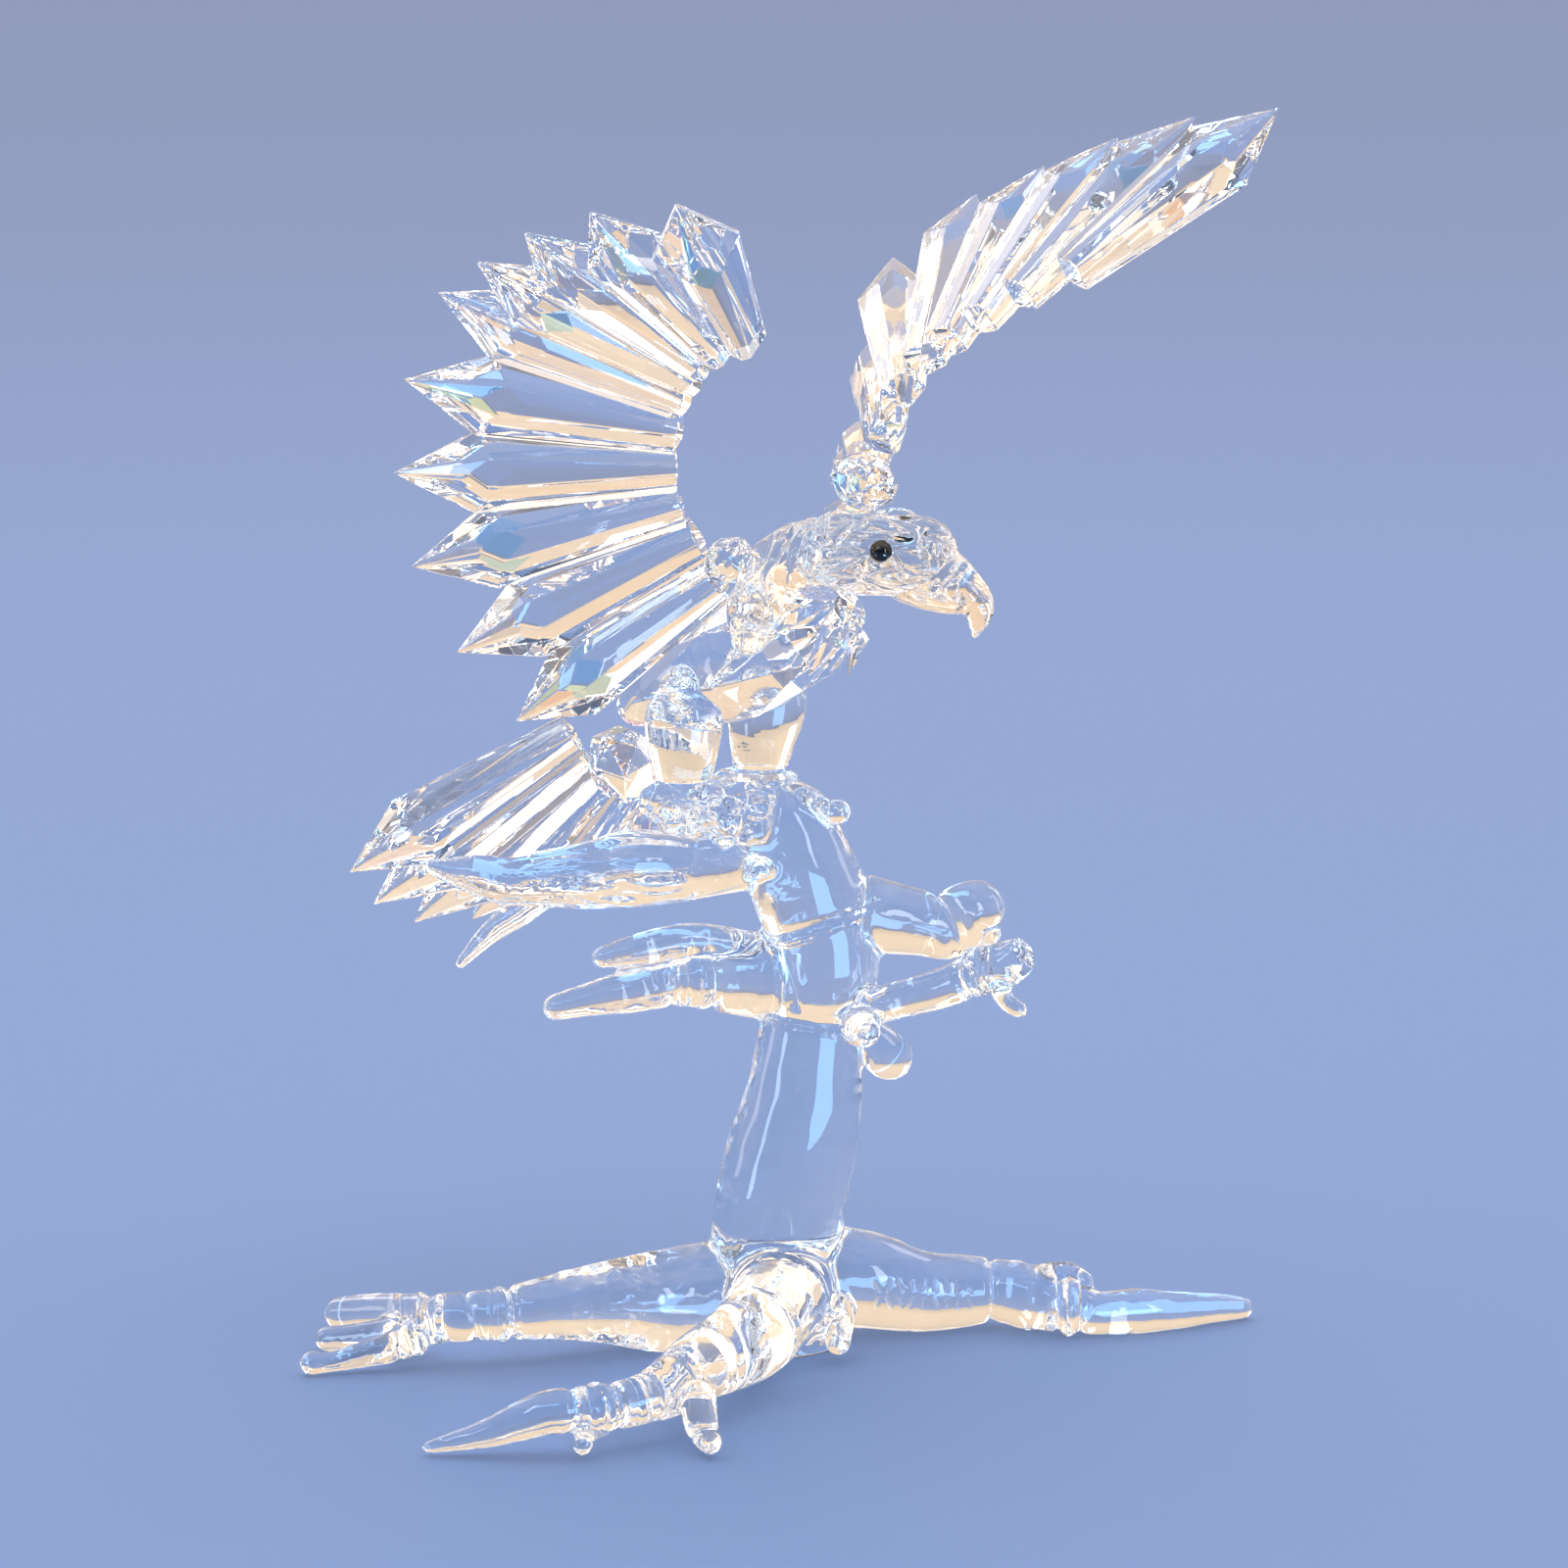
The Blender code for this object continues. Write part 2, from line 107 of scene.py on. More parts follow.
SMOOTH_RODS = (
    # inner end of the grained branch, let into the trunk
    ((-63, -24, 399, 26), (-39, -14, 401, 26), (-16, -10, 400, 23)),
    # forked branch to the left
    (
        (-4, 0, 312, 27), (-28, -8, 325, 19), (-51, -16, 336, 14), (-75, -24, 339, 14),
        (-98, -32, 336, 14), (-121, -40, 333, 12), (-141, -46, 330, 9),
    ),
    (
        (-8, 0, 300, 34), (-40, -10, 302, 28), (-63, -18, 305, 24), (-91, -27, 303, 20),
        (-122, -36, 299, 18), (-153, -46, 295, 14), (-178, -54, 291, 11),
    ),
    # upper right branch with a round knob
    (
        (51, 0, 357, 36), (83, 5, 351, 31), (115, 11, 344, 27), (143, 18, 336, 24),
        (167, 27, 332, 14),
    ),
    ((131, 20, 346, 19), (151, 28, 350, 24), (160, 32, 352, 24)),
    # front right branch with a knob and a curled end
    (
        (35, -12, 276, 20), (53, -18, 276, 17), (82, -40, 290, 16), (113, -56, 302, 16),
        (144, -72, 317, 17), (161, -82, 329, 19), (180, -92, 337, 19), (186, -94, 341, 17),
    ),
    ((178, -98, 341, 13), (183, -104, 348, 11), (186, -110, 355, 8)),
    ((177, -98, 331, 12), (174, -103, 320, 10), (178, -106, 310, 8), (189, -108, 303, 7)),
    # stubs to the front, to the back and beside the feet
    ((52, -8, 273, 16), (61, -22, 273, 16), (65, -52, 273, 15), (68, -84, 279, 14)),
    ((45, -4, 268, 18), (58, 5, 256, 19), (78, 24, 239, 20), (90, 40, 225, 20)),
    ((4, -11, 448, 22), (27, -19, 446, 16), (40, -25, 445, 9), (47, -28, 445, 11)),
    # two drops that hang from the front of the feet
    ((-14, -38, 456, 11), (-15, -48, 446, 9), (-17, -52, 434, 11)),
    ((-40, -40, 448, 10), (-42, -52, 440, 9), (-43, -55, 430, 10)),
    # left root with three toes
    (
        (-4, 0, 45, 44), (-40, -6, 37, 46), (-76, -16, 35, 46), (-108, -32, 39, 41),
        (-155, -52, 43, 31), (-201, -68, 43, 24), (-225, -74, 42, 21), (-252, -78, 41, 21),
        (-276, -78, 40, 20),
    ),
    ((-280, -66, 40, 16), (-310, -36, 32, 15), (-341, -6, 22, 15), (-360, 12, 15, 15)),
    ((-280, -72, 34, 14), (-313, -60, 22, 13), (-345, -50, 14, 12), (-366, -44, 11, 11)),
    (
        (-280, -78, 29, 14), (-311, -90, 19, 13), (-342, -96, 13, 11), (-362, -100, 10, 9),
        (-374, -103, 10, 10),
    ),
    # front root with two short toes
    (
        (4, -11, 54, 43), (1, -49, 49, 41), (-10, -104, 48, 38), (-29, -158, 45, 35),
        (-61, -205, 42, 28), (-87, -245, 36, 23), (-105, -262, 34, 20), (-146, -288, 35, 19),
        (-175, -295, 35, 18), (-220, -295, 19, 12), (-250, -295, 11, 8), (-268, -295, 7, 5),
    ),
    ((-62, -262, 34, 15), (-59, -282, 19, 14), (-53, -298, 12, 10)),
    ((-137, -288, 33, 13), (-147, -295, 18, 11), (-150, -301, 10, 8)),
    # right root with a curled nub and a long toe
    (
        (4, 0, 50, 44), (68, 5, 46, 41), (117, 14, 33, 34), (149, 20, 31, 31),
        (181, 20, 31, 27), (209, 14, 27, 26), (239, 5, 22, 23),
    ),
    ((213, 11, 38, 19), (240, 14, 44, 14), (248, 14, 41, 11)),
    (
        (237, 5, 19, 20), (261, 6, 17, 18), (294, 12, 17, 19), (327, 20, 15, 16),
        (360, 32, 13, 13), (383, 42, 10, 10),
    ),
    # small toe at the foot of the trunk, and the plain short root behind it
    ((45, -30, 37, 15), (48, -55, 26, 13), (47, -72, 17, 11)),
    ((4, 22, 50, 36), (12, 88, 32, 25), (18, 142, 13, 15)),
)
FOOT_LUMPS = (
    (-93, -38, 455, 15), (-76, -27, 457, 16), (-57, -38, 456, 16), (-83, -49, 445, 16),
    (-64, -55, 442, 16), (-45, -55, 445, 17), (-37, -27, 453, 19), (-20, -11, 452, 20),
    (-2, 0, 452, 20), (-20, -44, 441, 16), (-25, -55, 432, 10), (-39, -55, 434, 10),
    (9, -5, 440, 20), (-34, 16, 457, 16), (-12, 27, 456, 18), (-55, -16, 457, 15),
)


def drawn_line(rows, step):
    """Points and radii on a smooth line through the rows, about one step apart."""
    knots = np.array(rows, float) * UNIT
    gaps = np.linalg.norm(np.diff(knots[:, :3], axis=0), axis=1)
    along = np.concatenate([[0], np.cumsum(gaps)])
    slopes = np.gradient(knots, along, axis=0)
    places = np.linspace(0, along[-1], max(FEWEST_RINGS, int(along[-1] / step)))
    index = np.clip(np.searchsorted(along, places) - 1, 0, len(gaps) - 1)
    span = gaps[index][:, None]
    t = (places - along[index])[:, None] / span
    a, b = knots[index], knots[index + 1]
    slope_a, slope_b = slopes[index] * span, slopes[index + 1] * span
    line = (2 * t**3 - 3 * t**2 + 1) * a + (t**3 - 2 * t**2 + t) * slope_a
    line += (3 * t**2 - 2 * t**3) * b + (t**3 - t**2) * slope_b
    return line[:, :3], line[:, 3]


def unit(vectors):
    """The same directions with length 1."""
    return vectors / np.linalg.norm(vectors, axis=-1, keepdims=True)


def rod(rows, sides=ROD_SIDES, sideways=(0.2, 0.95, 0.1), flatness=1.0, relief=None):
    """A drawn rod with round ends: its points and its faces."""
    middles, radii = drawn_line(rows, ROD_STEP)
    tangents = unit(np.gradient(middles, axis=0))
    turns = np.radians(CAP_TURNS)[:, None]
    first_cap = middles[0] - tangents[0] * radii[0] * np.sin(turns)
    last_cap = middles[-1] + tangents[-1] * radii[-1] * np.sin(turns[::-1])
    cap_radii = np.cos(turns[:, 0])
    caps = len(CAP_TURNS)
    middles = np.vstack([first_cap, middles, last_cap])
    radii = np.concatenate([cap_radii * radii[0], radii, cap_radii[::-1] * radii[-1]])
    tangents = np.vstack([[tangents[0]] * caps, tangents, [tangents[-1]] * caps])
    angles = np.linspace(0, 2 * math.pi, sides, endpoint=False)
    across = np.array(sideways, float)
    points = []
    for index, (middle, radius, along) in enumerate(zip(middles, radii, tangents)):
        across = unit(across - across.dot(along) * along)
        upward = np.cross(along, across)
        ring = np.outer(np.cos(angles) * flatness, across) + np.outer(np.sin(angles), upward)
        size = radius if relief is None else radius * relief(index * ROD_STEP, angles)[:, None]
        points.append(middle + ring * size)
    points = np.vstack(points)
    rings = len(middles)
    poles = np.array([
        middles[0] - tangents[0] * radii[0] * POLE_SHARE,
        middles[-1] + tangents[-1] * radii[-1] * POLE_SHARE,
    ])
    faces = []
    for ring in range(rings - 1):
        base = ring * sides
        for side in range(sides):
            after = (side + 1) % sides
            faces.append((base + side, base + after, base + sides + after, base + sides + side))
    last = (rings - 1) * sides
    for side in range(sides):
        after = (side + 1) % sides
        faces.append((after, side, rings * sides))
        faces.append((last + side, last + after, rings * sides + 1))
    return np.vstack([points, poles]), faces


def blob(row):
    """A small round blob of melted glass."""
    bm = bmesh.new()
    bmesh.ops.create_icosphere(
        bm, subdivisions=BLOB_FINENESS, radius=row[3] * UNIT,
        matrix=Matrix.Translation(Vector(row[:3]) * UNIT),
    )
    points = np.array([vert.co for vert in bm.verts])
    faces = [tuple(vert.index for vert in face.verts) for face in bm.faces]
    bm.free()
    return points, faces


def add_object(name, data):
    """A new object in the scene."""
    item = bpy.data.objects.new(name, data)
    bpy.context.scene.collection.objects.link(item)
    return item


def read_points(mesh):
    """Every point of a mesh as one row of an array."""
    points = np.empty(len(mesh.vertices) * 3)
    mesh.vertices.foreach_get("co", points)
    return points.reshape(-1, 3)


def read_normals(mesh):
    """The outward direction at every point of a mesh."""
    mesh.update()
    normals = np.empty(len(mesh.vertices) * 3)
    mesh.vertices.foreach_get("normal", normals)
    return normals.reshape(-1, 3)


def write_points(mesh, points):
    """Moves the points of a mesh to new places."""
    mesh.vertices.foreach_set("co", points.ravel())
    mesh.update()


def shade_smooth(mesh):
    """Makes a fire-polished skin: no flats show on it."""
    mesh.polygons.foreach_set("use_smooth", [True] * len(mesh.polygons))


def settle(mesh, rounds, pull=0.55, push=-0.57):
    """Evens the surface out as molten glass does, and keeps its volume."""
    edges = np.empty(len(mesh.edges) * 2, int)
    mesh.edges.foreach_get("vertices", edges)
    starts, ends = edges.reshape(-1, 2).T
    points = read_points(mesh)
    count = len(points)
    links = np.bincount(starts, minlength=count) + np.bincount(ends, minlength=count)
    for step in range(2 * rounds):
        total = np.empty_like(points)
        for axis in range(3):
            total[:, axis] = np.bincount(starts, points[ends, axis], count)
            total[:, axis] += np.bincount(ends, points[starts, axis], count)
        share = pull if step % 2 == 0 else push
        points += share * (total / links[:, None] - points)
    write_points(mesh, points)


def fuse(name, shells, voxel, rounds):
    """Melts overlapping closed shells into one skin."""
    points, faces, start = [], [], 0
    for shell_points, shell_faces in shells:
        points.append(shell_points)
        faces += [tuple(corner + start for corner in face) for face in shell_faces]
        start += len(shell_points)
    raw = bpy.data.meshes.new(name)
    raw.from_pydata(np.vstack(points).tolist(), [], faces)
    piece = add_object(name, raw)
    melt = piece.modifiers.new("melt", "REMESH")
    melt.mode = "VOXEL"
    melt.voxel_size = voxel
    graph = bpy.context.evaluated_depsgraph_get()
    mesh = bpy.data.meshes.new_from_object(piece.evaluated_get(graph))
    piece.modifiers.clear()
    piece.data = mesh
    bpy.data.meshes.remove(raw)
    mesh.name = name
    settle(mesh, rounds)
    return piece


def line_share(points, places, width):
    """How near each point is to a line through the places: 1 on it, 0 well away from it."""
    nearest = np.full(len(points), np.inf)
    for start, end in zip(places, places[1:]):
        start, end = np.array(start, float) * UNIT, np.array(end, float) * UNIT
        run = end - start
        share = np.clip((points - start) @ run / (run @ run), 0, 1)
        gap = np.linalg.norm(points - start - share[:, None] * run, axis=1)
        nearest = np.minimum(nearest, gap)
    return np.exp(-((nearest / width) ** 2))


def ring_share(points, centre, axis, width, reach):
    """How near each point is to a ring round a rod: 1 on it, 0 well away from it."""
    offset = points - np.array(centre) * UNIT
    axis = unit(np.array(axis, float))
    along = offset @ axis
    outward = np.linalg.norm(offset - along[:, None] * axis, axis=1)
    return np.exp(-((along / width) ** 2)) / (1 + np.exp((outward / UNIT - reach) / RING_SOFTNESS))


def waviness(points, size, seed):
    """Smooth noise between -1 and 1 with lumps of one size."""
    shift = Vector((seed, 2.3 * seed, 0.7 * seed))
    return np.array([noise.noise(Vector(point) / size + shift) for point in points])


GRAIN_DEPTH = 0.13
GRAIN_FURROWS = 9
WIDE_FURROWS = 5
WIDE_SHARE = 0.7
WIDE_START = 0.8
# The furrows' wander along the branch: strength, length and start of each of its two waves
LONG_WANDER = (0.6, 0.0085, 0.0)
SHORT_WANDER = (0.25, 0.0037, 1.3)
TWIG_FURROWS = 6
TWIG_TWIST = 0.002
GRAINED_SIDES = 48


def wood_grain(along, angles):
    """Furrows that wander as they run along the combed branch."""
    wander = 0
    for strength, length, start in (LONG_WANDER, SHORT_WANDER):
        wander += strength * math.sin(along / length + start)
    furrows = np.sin(GRAIN_FURROWS * angles + 2 * wander)
    furrows += WIDE_SHARE * np.sin(WIDE_FURROWS * angles - 3 * wander + WIDE_START)
    return 1 - GRAIN_DEPTH * (0.5 - furrows / (2 * (1 + WIDE_SHARE)))


def twig_grain(along, angles):
    """Straight furrows with a slow twist round the hanging twig."""
    return 1 - GRAIN_DEPTH * 0.5 * (1 + np.sin(TWIG_FURROWS * angles + along / TWIG_TWIST))


tree_shells = [
    rod(TRUNK), rod(TREE_TOP), rod(GRAINED_BRANCH, GRAINED_SIDES, relief=wood_grain),
    rod(HANGING_TWIG, relief=twig_grain),
]
tree_shells += [rod(rows) for rows in SMOOTH_RODS]
tree_shells += [blob(row) for row in FOOT_LUMPS]
tree = fuse("glass_tree", tree_shells, TREE_VOXEL, TREE_SETTLING)

# Seams where one rod was set on the next: place, axis, width, depth and reach of each groove.
# A negative depth is a collar that stands out.
SEAMS = (
    ((37, 0, 352), (-0.35, 0.15, 1), 0.00050, 0.00070, 52),
    ((36, 0, 346), (-0.35, 0.15, 1), 0.00060, -0.00040, 52),
    ((31, 0, 272), (0.1, 0, 1), 0.00060, 0.00080, 50),
    ((-4, 0, 330), (1, 0.2, 0.25), 0.00050, 0.00060, 60),
    ((-56, -17, 303), (1, 0.3, 0), 0.00050, 0.00080, 30),
    ((-66, -20, 304), (1, 0.3, 0), 0.00060, -0.00030, 30),
    ((-88, -27, 303), (1, 0.3, 0), 0.00045, 0.00060, 26),
    ((-217, -72, 42), (1, 0.3, 0), 0.00045, 0.00090, 28),
    ((-224, -74, 42), (1, 0.3, 0), 0.00060, -0.00035, 28),
    ((-247, -78, 41), (1, 0.2, 0.2), 0.00045, 0.00060, 26),
    ((-281, -77, 37), (1, 0, 0.1), 0.00050, 0.00080, 28),
    ((-289, -77, 33), (1, 0, 0.1), 0.00050, -0.00040, 34),
    ((-306, -75, 27), (1, 0, 0.1), 0.00040, 0.00050, 44),
    ((174, 20, 31), (1, 0, 0), 0.00050, 0.00080, 34),
    ((200, 16, 28), (1, 0, 0), 0.00180, -0.00040, 34),
    ((228, 8, 24), (1, 0, 0), 0.00045, 0.00080, 30),
    ((237, 5, 20), (1, 0, 0), 0.00060, -0.00050, 30),
    ((247, 5, 19), (1, 0, 0), 0.00040, 0.00070, 28),
    ((4, -62, 52), (0, 1, 0.05), 0.00060, 0.00100, 48),
    ((-79, -235, 38), (-0.6, -0.8, 0), 0.00050, 0.00080, 28),
    ((-99, -257, 35), (-0.7, -0.7, 0), 0.00045, 0.00070, 26),
    ((-126, -279, 35), (-0.85, -0.5, 0), 0.00045, 0.00070, 24),
    ((-138, -285, 35), (-0.85, -0.5, 0), 0.00060, -0.00045, 24),
    ((-158, -292, 35), (-1, -0.2, 0), 0.00045, 0.00070, 22),
    ((-57, -290, 16), (0.2, -0.7, -0.6), 0.00040, 0.00060, 16),
    ((-149, -298, 14), (-0.2, -0.6, -0.7), 0.00040, 0.00060, 14),
    ((150, -75, 320), (0.75, -0.5, 0.35), 0.00045, 0.00080, 24),
    ((157, -80, 325), (0.75, -0.5, 0.35), 0.00050, -0.00050, 24),
    ((165, -85, 330), (0.75, -0.5, 0.35), 0.00040, 0.00070, 26),
    ((61, -22, 273), (0.4, -0.8, 0), 0.00045, 0.00070, 22),
    ((66, -70, 276), (0, -1, 0.2), 0.00040, 0.00060, 18),
    ((64, 5, 354), (1, 0.1, -0.2), 0.00055, 0.00070, 42),
    ((136, 20, 343), (0.9, 0.3, 0.3), 0.00050, 0.00080, 30),
)
# Soft waves of the whole skin: size of a lump and height
FLOW_SIZES = ((0.0110, 0.00022), (0.0038, 0.00008))
FLOW_SEED = 4.1
FLOW_REST = 0.4

# The feet: knobs and curls of thin melted glass laid over the blobs
FEET_LOW = np.array((-124, -90, 441)) * UNIT
FEET_HIGH = np.array((14, 46, 475)) * UNIT
FEET_CUTS = 1
FEET_SEED = 7
KNOB_COUNT = 44
KNOB_RADII = (0.0010, 0.0018)
KNOB_HEIGHT = 0.62
CURL_COUNT = 20
CURL_RADII = (7.0, 13.0)
CURL_SPREAD = (2.6, 5.4)
CURL_STEPS = 18
CURL_WIDTH = 0.00052
CURL_HEIGHT = 0.00095


def within(points, low, high):
    """Which points lie inside a box."""
    return np.all((points > low) & (points < high), axis=-1)


def feet_relief(points, normals):
    """How far the knobs and curls of the feet stand out at each point."""
    dice = np.random.default_rng(FEET_SEED)
    feet = np.flatnonzero(within(points, FEET_LOW, FEET_HIGH))
    spots = points[feet]
    height = np.zeros(len(feet))
    for index in dice.choice(feet, KNOB_COUNT, replace=False):
        radius = dice.uniform(*KNOB_RADII)
        gap = np.linalg.norm(spots - points[index], axis=1) / radius
        knob = KNOB_HEIGHT * radius * np.sqrt(np.clip(1 - gap**2, 0, None))
        height = np.maximum(height, knob)
    for index in dice.choice(feet, CURL_COUNT, replace=False):
        across = unit(np.cross(normals[index], dice.normal(size=3)))
        along = np.cross(normals[index], across)
        first = dice.uniform(0, 2 * math.pi)
        turns = np.linspace(first, first + dice.uniform(*CURL_SPREAD), CURL_STEPS)
        radius = dice.uniform(*CURL_RADII)
        ring = np.outer(np.cos(turns), across) + np.outer(np.sin(turns), along)
        places = points[index] / UNIT + radius * ring
        height = np.maximum(height, CURL_HEIGHT * line_share(spots, places, CURL_WIDTH))
    lift = np.zeros(len(points))
    lift[feet] = height
    return lift


# Shallow strokes cut by hand in two rows on the front of the right root: they spell nothing
STROKE_SEED = 3
STROKE_ROWS = (52, 38)
STROKE_START = 80
STROKE_PITCH = 9.5
STROKE_COUNT = 9
STROKE_HEIGHT = 5.0
STROKE_SHORTEST = 0.6
STROKE_LEAN = 2.2
STROKE_FALL = 0.10
STROKE_WIDTH = 0.00024
STROKE_DEPTH = 0.00022
STROKE_FRONT = -8
STROKE_FAR_FRONT = -60
STROKE_LEVELS = (20, 62)
STROKE_MARGINS = (8, 4)
STROKE_CUTS = 2
FROSTING = 0.7

stroke_dice = np.random.default_rng(STROKE_SEED)
strokes = []
for level in STROKE_ROWS:
    for index in range(STROKE_COUNT):
        middle = STROKE_START + STROKE_PITCH * index
        drop = STROKE_FALL * (middle - STROKE_START)
        lean = stroke_dice.uniform(-STROKE_LEAN, STROKE_LEAN)
        tall = STROKE_HEIGHT * stroke_dice.uniform(STROKE_SHORTEST, 1)
        foot = (middle - lean, 0, level - drop - tall)
        top = (middle + lean, 0, level - drop + tall)
        strokes.append((foot, top))

strokes_start = STROKE_START - STROKE_MARGINS[0]
strokes_end = STROKE_START + STROKE_PITCH * STROKE_COUNT + STROKE_MARGINS[1]
strokes_low = np.array((strokes_start, STROKE_FAR_FRONT, STROKE_LEVELS[0])) * UNIT
strokes_high = np.array((strokes_end, STROKE_FRONT, STROKE_LEVELS[1])) * UNIT
bm = bmesh.new()
bm.from_mesh(tree.data)
for low, high, cuts in (
    (strokes_low, strokes_high, STROKE_CUTS), (FEET_LOW, FEET_HIGH, FEET_CUTS)
):
    middles = np.array([face.calc_center_median() for face in bm.faces])
    fine = within(middles, low, high)
    edges = {edge for face, inside in zip(bm.faces, fine) if inside for edge in face.edges}
    bmesh.ops.subdivide_edges(bm, edges=list(edges), cuts=cuts, use_grid_fill=True)
bm.to_mesh(tree.data)
bm.free()

points = read_points(tree.data)
normals = read_normals(tree.data)
lift = feet_relief(points, normals)
for size, height in FLOW_SIZES:
    lift += height * (waviness(points, size, FLOW_SEED) - FLOW_REST)
for centre, axis, width, depth, reach in SEAMS:
    lift -= depth * ring_share(points, centre, axis, width, reach)
in_front = points[:, 1] < STROKE_FRONT * UNIT
flat_points = points * (1, 0, 1)
etched = np.zeros(len(points))
for stroke in strokes:
    etched = np.maximum(etched, line_share(flat_points, stroke, STROKE_WIDTH) * in_front)
lift -= STROKE_DEPTH * etched
points += normals * lift[:, None]
points[:, 2] = np.clip(points[:, 2], 0, ANKLE - GLUE_GAP / 2)
points[:, :2] = np.clip(points[:, :2], cad_low[:2], cad_high[:2])
write_points(tree.data, points)
etched_layer = tree.data.attributes.new("etched", "FLOAT", "POINT")
etched_layer.data.foreach_set("value", etched.astype(np.float32))
shade_smooth(tree.data)


def flow_marks():
    """Shared effect: the soft streaks that stay in glass drawn and melted by hand."""
    group = bpy.data.node_groups.new("flow_marks", "ShaderNodeTree")
    size = group.interface.new_socket("Fineness", in_out="INPUT", socket_type="NodeSocketFloat")
    size.default_value = 300
    group.interface.new_socket("Height", in_out="OUTPUT", socket_type="NodeSocketFloat")
    group.interface.new_socket("Clearness", in_out="OUTPUT", socket_type="NodeSocketFloat")
    nodes, links = group.nodes, group.links
    inside = nodes.new("NodeGroupInput")
    outside = nodes.new("NodeGroupOutput")
    place = nodes.new("ShaderNodeTexCoord")
    broad = nodes.new("ShaderNodeTexNoise")
    broad.inputs["Detail"].default_value = 2
    broad.inputs["Distortion"].default_value = 0.6
    links.new(place.outputs["Object"], broad.inputs["Vector"])
    links.new(inside.outputs["Fineness"], broad.inputs["Scale"])
    clear = nodes.new("ShaderNodeMapRange")
    clear.inputs["From Min"].default_value = 0.35
    clear.inputs["From Max"].default_value = 0.75
    links.new(broad.outputs["Fac"], clear.inputs["Value"])
    links.new(broad.outputs["Fac"], outside.inputs["Height"])
    links.new(clear.outputs["Result"], outside.inputs["Clearness"])
    return group


FLOW_MARKS = flow_marks()


def lamp_glass(name, fineness, bump, clear_colour, streak_colour, smooth, rough):
    """Clear lampworked glass: smooth, with faint streaks of tint and gloss."""
    material = bpy.data.materials.new(name)
    material.use_nodes = True
    nodes, links = material.node_tree.nodes, material.node_tree.links
    shader = nodes["Principled BSDF"]
    shader.inputs["Metallic"].default_value = 0.0
    shader.inputs["Transmission Weight"].default_value = 1.0
    shader.inputs["IOR"].default_value = 1.49
    marks = nodes.new("ShaderNodeGroup")
    marks.node_tree = FLOW_MARKS
    marks.inputs["Fineness"].default_value = fineness
    relief = nodes.new("ShaderNodeBump")
    relief.inputs["Strength"].default_value = 1.0
    relief.inputs["Distance"].default_value = bump
    links.new(marks.outputs["Height"], relief.inputs["Height"])
    links.new(relief.outputs["Normal"], shader.inputs["Normal"])
    tint = nodes.new("ShaderNodeMix")
    tint.data_type = "RGBA"
    tint.inputs["A"].default_value = (*clear_colour, 1)
    tint.inputs["B"].default_value = (*streak_colour, 1)
    links.new(marks.outputs["Clearness"], tint.inputs["Factor"])
    links.new(tint.outputs["Result"], shader.inputs["Base Color"])
    gloss = nodes.new("ShaderNodeMapRange")
    gloss.inputs["To Min"].default_value = smooth
    gloss.inputs["To Max"].default_value = rough
    links.new(marks.outputs["Clearness"], gloss.inputs["Value"])
    links.new(gloss.outputs["Result"], shader.inputs["Roughness"])
    return material, gloss


tree_glass, tree_gloss = lamp_glass(
    "drawn_clear_glass", fineness=260, bump=0.00004,
    clear_colour=(0.985, 0.99, 0.99), streak_colour=(0.94, 0.95, 0.945), smooth=0.0, rough=0.03,
)
strokes_cut = tree_glass.node_tree.nodes.new("ShaderNodeAttribute")
strokes_cut.attribute_name = "etched"
frosting = tree_glass.node_tree.nodes.new("ShaderNodeMath")
frosting.operation = "MULTIPLY_ADD"
frosting.inputs[1].default_value = FROSTING
tree_links = tree_glass.node_tree.links
tree_links.new(strokes_cut.outputs["Fac"], frosting.inputs[0])
tree_links.new(tree_gloss.outputs["Result"], frosting.inputs[2])
tree_links.new(
    frosting.outputs["Value"], tree_glass.node_tree.nodes["Principled BSDF"].inputs["Roughness"]
)


def finish_piece(piece, material, slot, *nodes):
    """Gives a piece its material and sets it in the frame in place of its plain solids."""
    piece.data.materials.clear()
    piece.data.materials.append(material)
    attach(piece, "root")
    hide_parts(*nodes)


finish_piece(tree, tree_glass, "lampworked_glass", "tree")


# Thighs
# Two smooth drops of clear glass, gathered hot and left round. Each stands on the melted feet
# and its round top is seated against the body stone.

THIGH_VOXEL = 0.00030
THIGH_SETTLING = 4
THIGH_SIDES = 48
SAME_PLACE = 1e-6
NEAR_THIGH = (
    (-76, -24, 462, 20), (-76, -25, 486, 26), (-76, -25, 512, 31), (-75, -24, 528, 30),
    (-74, -22, 542, 22),
)
FAR_THIGH = (
    (-16, 25, 462, 20), (-14, 28, 488, 26), (-10, 28, 516, 31), (-6, 28, 536, 29),
    (-2, 28, 548, 22),
)


def keep_off(points, node, clearance):
    """Moves points that would touch a convex neighbour back to a clearance from its facets."""
    bm = bmesh.new()
    bm.from_mesh(frame["nodes"][node].data)
    bmesh.ops.remove_doubles(bm, verts=bm.verts, dist=SAME_PLACE)
    origins = np.array([face.calc_center_median() for face in bm.faces])
    outward = np.array([face.normal for face in bm.faces])
    bm.free()
    depth = np.einsum("pfk,fk->pf", points[:, None, :] - origins[None], outward)
    nearest = depth.argmax(axis=1)
    deepest = depth.max(axis=1)
    short = deepest < clearance
    points[short] += outward[nearest[short]] * (clearance - deepest[short])[:, None]


